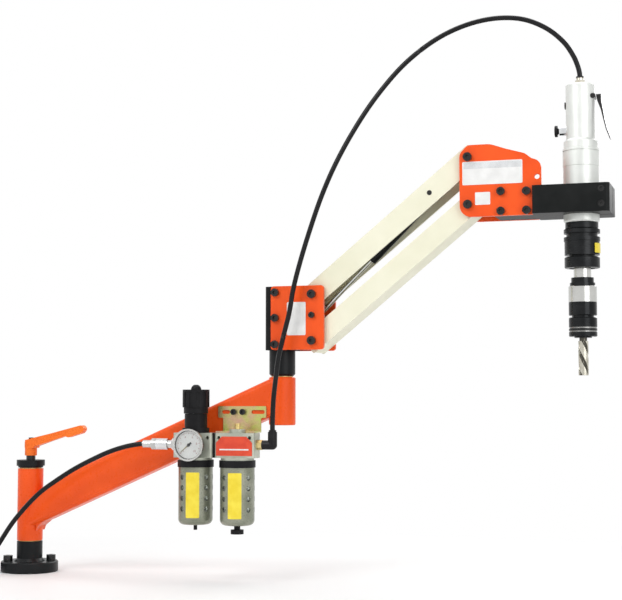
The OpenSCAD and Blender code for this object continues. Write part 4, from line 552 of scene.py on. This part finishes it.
def dial_disc():
    """Rings about the gauge's axis, a share of the dial's radius each, with a slightly raised rim."""
    turn = np.linspace(0, 2 * np.pi, DIAL_SIDES + 1)[:-1]
    radius = DIAL_R * RING_SHARES[:, None]
    rings = on_dial(radius * np.cos(turn), radius * np.sin(turn), RING_HEIGHTS[:, None])
    count = len(rings) * DIAL_SIDES
    faces = grid_faces(len(rings), DIAL_SIDES).tolist()
    faces += [list(range(count - DIAL_SIDES, count))]
    return new_mesh("gauge_dial", rings.reshape(-1, 3), faces)


def dial_ticks():
    """Short bars along the dial's rim, longer and wider at every number: a box on each radius."""
    index = np.arange(TICKS + 1)
    angle = np.radians(FIRST_ANGLE - SWEEP * index / TICKS)
    long_bar = index % TICKS_TO_A_NUMBER == 0
    half = np.where(long_bar, LONG_TICK_HALF, SHORT_TICK_HALF)[:, None]
    inner_r = np.where(long_bar, LONG_TICK_R, SHORT_TICK_R)[:, None]
    ray = np.stack([np.cos(angle), np.sin(angle)], 1)
    side = np.stack([-ray[:, 1], ray[:, 0]], 1) * half
    near = ray * inner_r
    far = ray * TICK_OUTER_R
    corners = np.stack([near - side, far - side, far + side, near + side], 1)[:, None]
    heights = np.array([PRINT_THICK / 2, PRINT_THICK])[None, :, None]
    vertices = on_dial(corners[..., 0], corners[..., 1], heights).reshape(-1, 3)
    box = np.vstack([[4, 5, 6, 7], [[k, (k + 1) % 4, 4 + (k + 1) % 4, 4 + k] for k in range(4)]])
    faces = (box + 8 * index[:, None, None]).reshape(-1, 4).tolist()
    return new_mesh("gauge_ticks", vertices, faces, smooth=False)


def dial_number(index, label):
    """A plain number inside the ticks, as a curve that is turned into a mesh."""
    angle = math.radians(FIRST_ANGLE - SWEEP * index / (len(NUMBERS) - 1))
    curve = bpy.data.curves.new("gauge_number_" + label, "FONT")
    curve.body, curve.size, curve.align_x, curve.align_y = label, NUMBER_SIZE, "CENTER", "CENTER"
    holder = bpy.data.objects.new("gauge_number_" + label, curve)
    bpy.context.scene.collection.objects.link(holder)
    bpy.context.view_layer.update()
    mesh = bpy.data.meshes.new_from_object(holder.evaluated_get(bpy.context.evaluated_depsgraph_get()))
    flat = np.array([vertex.co[:] for vertex in mesh.vertices])
    across, up = NUMBER_R * math.cos(angle), NUMBER_R * math.sin(angle)
    points = on_dial(across + flat[:, 0], up + flat[:, 1], PRINT_THICK)
    faces = [tuple(polygon.vertices) for polygon in mesh.polygons]
    bpy.data.objects.remove(holder)
    bpy.data.meshes.remove(mesh)
    return new_mesh("gauge_number_piece_" + label, points, faces, smooth=False)


gauge_black = finish("gauge_black", (0.006, 0.007, 0.008), (0.012, 0.013, 0.014), (0.20, 0.32),
                     broad=40, bump=0.04, depth=0.0001)
needle_black = finish("needle_black", (0.008, 0.008, 0.008), (0.016, 0.016, 0.016), (0.36, 0.48),
                      fine=1500, broad=60, bump=0.02, depth=0.0001)
dial_white = finish("dial_white", (0.84, 0.84, 0.82), (0.90, 0.90, 0.88), (0.34, 0.44),
                    fine=1500, broad=60, bump=0.02, depth=0.0001)
dial_print = finish("dial_print", (0.36, 0.16, 0.15), (0.44, 0.22, 0.20), (0.40, 0.50),
                    fine=1500, broad=60, bump=0.02, depth=0.0001)
zone(gauge_black, "gauge_case", (0, 1, 0), [CASE_RIM], *BRIGHT, 1.0)
zone(needle_black, "gauge_needle", NEEDLE_SLANT, [NEEDLE_TIP], (0.34, 0.30, 0.18), (0.44, 0.40, 0.27), 0.3)
dress(clear_plastic("gauge_glass", (0.97, 0.98, 0.98), 0.03, 1.0), "gauge_lens")
stick(dial_disc(), "lower_arm", dial_white)
stick(dial_ticks(), "lower_arm", dial_print)
for index, label in enumerate(NUMBERS):
    stick(dial_number(index, label), "lower_arm", dial_print)

# Air hoses: smooth black polyurethane tube of 8 mm, pushed into fittings at its ends.
# The supply hose lies on the bench and ends in a coil with its plug; the delivery hose
# hangs in one arch from the air unit to the motor, in three stretches. Routes are in mm.
MM_IN_A_METRE = 1000
HOSE_D = 0.008
HOSE_SIDES = 16
SUPPLY_STEPS, DELIVERY_STEPS, COIL_STEPS = 4, 5, 32
COIL_X, COIL_Y, COIL_R = -130, -4.5, 53
COIL_TURNS, COIL_PITCH, COIL_CLIMB = 4.25, 8.8, 9
ON_BENCH, LAST_TURN_DROP = 4.2, 7
supply_route = [
    [246, -58, 223], [232, -58, 222.6], [208, -58, 218.5], [179, -58, 210], [149, -58, 197.5],
    [114, -58, 180.5], [82, -58, 161.5], [50, -58, 140], [22, -58, 114], [-3, -58, 86], [-25, -59, 54],
    [-43, -60, 28], [-63, -60, 11], [-86, -59, 4.8], [-108, -58, 4.2], [-130, -57.5, 4.2]
]
delivery_route = [
    [464.5, -58, 239.5], [464.5, -58, 262], [466, -58, 296], [470, -58, 331], [475, -58, 366],
    [483, -57, 400], [492, -56, 436], [499, -55.5, 476], [511, -54, 522], [527, -52.5, 573],
    [545, -50.5, 624], [567, -48, 674], [595, -44.5, 725], [628.5, -39.5, 776], [668, -34, 823.5],
    [705, -29, 856], [744, -23.5, 880.5], [786, -17.5, 896.5], [828, -11.5, 903], [868, -6, 899],
    [903, -1.5, 883], [929, 0, 860], [944, 0, 837], [951.5, 0, 818], [954.2, 0, 804], [954.2, 0, 794.7]
]


def smooth_route(points, steps):
    """Points along a smooth curve through every point of the route, steps to a span.

    Each span is a cubic. Its slope at a point is half the way between that point's neighbours.
    """
    p = np.array(points, float)
    p = np.vstack([p[:1], p, p[-1:]])
    a, b, c, d = p[:-3], p[1:-2], p[2:-1], p[3:]
    t = (np.arange(steps) / steps)[:, None, None]
    squares = (2 * a - 5 * b + 4 * c - d) * t**2
    cubes = (3 * b - a - 3 * c + d) * t**3
    curve = 0.5 * (2 * b + (c - a) * t + squares + cubes)
    return np.vstack([curve.transpose(1, 0, 2).reshape(-1, 3), p[-1:]])


def coil_points(steps):
    """The coil winds in, climbs a layer where it turns back, winds out and rolls down to the bench.

    The radius falls by the pitch with each turn and grows again. The climb takes half a turn in
    the middle, and the roll is the last quarter of a turn.
    """
    turn = np.linspace(0, COIL_TURNS, int(COIL_TURNS * steps) + 1)
    inwards = np.minimum(turn, COIL_TURNS - turn)
    angle = np.radians(-90 - 360 * turn)
    climb = np.clip((turn - COIL_TURNS / 2) * 2 + 0.5, 0, 1)
    rise = climb**2 * (3 - 2 * climb)
    roll = np.radians(360 * np.maximum(0, turn - COIL_TURNS + 0.25))
    r = COIL_R - COIL_PITCH * inwards + COIL_CLIMB * np.sin(roll)
    z = ON_BENCH + COIL_CLIMB * rise - LAST_TURN_DROP * (1 - np.cos(roll))
    return np.stack([COIL_X + r * np.cos(angle), COIL_Y + r * np.sin(angle), z], 1)


def tube(name, path, up=(0, 1, 0)):
    """A round tube whose rings stand square to the path, closed by a flat face at both ends."""
    flow = np.gradient(path, axis=0)
    flow /= np.linalg.norm(flow, axis=1)[:, None]
    u = np.cross(np.array(up, float), flow)
    u /= np.linalg.norm(u, axis=1)[:, None]
    v = np.cross(flow, u)
    turn = (np.arange(HOSE_SIDES) * 2 * np.pi / HOSE_SIDES)[None, :, None]
    rings = path[:, None] + HOSE_D / 2 * (np.cos(turn) * u[:, None] + np.sin(turn) * v[:, None])
    last = (len(path) - 1) * HOSE_SIDES
    ends = [list(range(HOSE_SIDES))[::-1], list(range(last, last + HOSE_SIDES))]
    return new_mesh(name, rings.reshape(-1, 3), grid_faces(len(path), HOSE_SIDES).tolist() + ends)


hose_black = finish("hose_black", (0.006, 0.006, 0.007), (0.010, 0.010, 0.011), (0.22, 0.34),
                    broad=40, bump=0.04, depth=0.0001, coat=0.1, coat_rough=0.15, gloss=0.15)
dress(ground_steel, "hose_plug")
coil = coil_points(COIL_STEPS)
into_plug = coil[-1] + np.array([[0, 8, 0], [0, 16, 0]])
supply_path = np.vstack([smooth_route(supply_route, SUPPLY_STEPS)[:-1], coil, into_plug]) / MM_IN_A_METRE
supply_hose = tube("supply_hose_piece", supply_path, up=(0.02, 0.3, 1))
supply_hose.data.materials.append(hose_black)
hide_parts("supply_hose", "supply_coil")
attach(supply_hose, "lower_arm")

# Each stretch runs between two points of the route. Its row also names the two bodies
# that it joins and a place on each, from the first to the second, which the loop below
# does not use. The arch is listed from the upper link back to the swivel.
delivery_path = smooth_route(delivery_route, DELIVERY_STEPS) / MM_IN_A_METRE
stretches = [
    ("hose_riser", 0, 5, "lower_arm", "swivel", (0.4645, -0.058, 0.262), (0.483, -0.057, 0.400)),
    ("hose_arch", 5, 15, "upper_link", "swivel", (0.700, -0.0297, 0.852), (0.492, -0.056, 0.436)),
    ("hose_drop", 15, 25, "upper_link", "head", (0.705, -0.029, 0.856), (0.957, -0.029, 0.838)),
]
for node, first, last, body_a, body_b, start, end in stretches:
    path = delivery_path[first * DELIVERY_STEPS:last * DELIVERY_STEPS + 1]
    piece = tube(node + "_piece", path)
    piece.data.materials.append(hose_black)
    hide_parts(node)
    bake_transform(piece)


# Surroundings: a pale bench top that shows white to the camera and keeps the object's
# shadow near its foot, plain soft lamps and an even grey world for the reflections.
BENCH_MIDDLE_X, BENCH_STRETCH = 0.45, 0.6
SHADOW_R, WHITE_R = 0.30, 0.85
WORLD_LIGHT = 0.5
LAMPS = [
    ("key", (-0.6, -2.2, 2.2), (0.5, 0, 0.4), 1.4, 36),
    ("fill", (2.6, -1.8, 1.2), (0.6, 0, 0.4), 1.6, 22),
    ("top", (0.5, 0.4, 2.8), (0.5, 0, 0.3), 2.0, 34),
    ("rim", (1.0, 2.4, 1.6), (0.5, 0, 0.4), 1.4, 17),
]


def seen_ray(tree):
    """One for camera, glossy and transmission rays and zero for the rays that light the object."""
    rays = tree.nodes.new("ShaderNodeLightPath").outputs
    camera_or_glossy = larger(tree, rays["Is Camera Ray"], rays["Is Glossy Ray"])
    return larger(tree, camera_or_glossy, rays["Is Transmission Ray"])


def white_where_seen(tree, plain, white, amount, surface):
    """Mixes the white shader over the plain one by an amount, into a surface socket."""
    mix = tree.nodes.new("ShaderNodeMixShader")
    wire(tree, (amount, mix.inputs["Fac"]), (plain, mix.inputs[1]), (white, mix.inputs[2]),
         (mix.outputs[0], surface))


def softbox(name, place, target, size, power):
    """A square area lamp that looks at a point."""
    data = bpy.data.lights.new(name, "AREA")
    data.shape, data.size, data.energy = "SQUARE", size, power
    lamp = bpy.data.objects.new(name, data)
    lamp.location = place
    way = np.array(target, float) - np.array(place, float)
    flat = math.hypot(way[0], way[1])
    lamp.rotation_euler = (math.atan2(flat, -way[2]), 0, math.atan2(-way[0], way[1]))
    bpy.context.scene.collection.objects.link(lamp)


bench_corners = [(-6, -6, 0), (7, -6, 0), (7, 7, 0), (-6, 7, 0)]
bench = new_mesh("bench_top", bench_corners, [[0, 1, 2, 3]], smooth=False)
bench_paint, tree, shader = new_material("bench_top")
shader.inputs["Base Color"].default_value = (0.82, 0.82, 0.82, 1)
shader.inputs["Roughness"].default_value = 0.6
fade = tree.nodes.new("ShaderNodeMapRange")
fade.interpolation_type = "SMOOTHSTEP"
fade.inputs["From Min"].default_value = SHADOW_R
fade.inputs["From Max"].default_value = WHITE_R
paper = tree.nodes.new("ShaderNodeEmission")
paper.inputs["Strength"].default_value = 1.0
amount = tree.nodes.new("ShaderNodeMath")
amount.operation = "MULTIPLY"
middle = (-BENCH_MIDDLE_X * BENCH_STRETCH, 0, 0)
wire(tree, (distance(tree, middle, (BENCH_STRETCH, 1, 0)), fade.inputs["Value"]),
     (fade.outputs["Result"], amount.inputs[0]), (seen_ray(tree), amount.inputs[1]))
white_where_seen(tree, shader.outputs[0], paper.outputs[0], amount.outputs[0],
                 tree.nodes["Material Output"].inputs["Surface"])
bench.data.materials.append(bench_paint)

world = bpy.data.worlds.new("world")
bpy.context.scene.world = world
world.use_nodes = True
tree = world.node_tree
grey = tree.nodes["Background"]
grey.inputs["Color"].default_value = (1, 1, 1, 1)
grey.inputs["Strength"].default_value = WORLD_LIGHT
white = tree.nodes.new("ShaderNodeBackground")
white.inputs["Color"].default_value = (1, 1, 1, 1)
white.inputs["Strength"].default_value = 1.0
white_where_seen(tree, grey.outputs[0], white.outputs[0], seen_ray(tree),
                 tree.nodes["World Output"].inputs["Surface"])
for lamp in LAMPS:
    softbox(*lamp)
bpy.context.scene.view_settings.view_transform = "Standard"
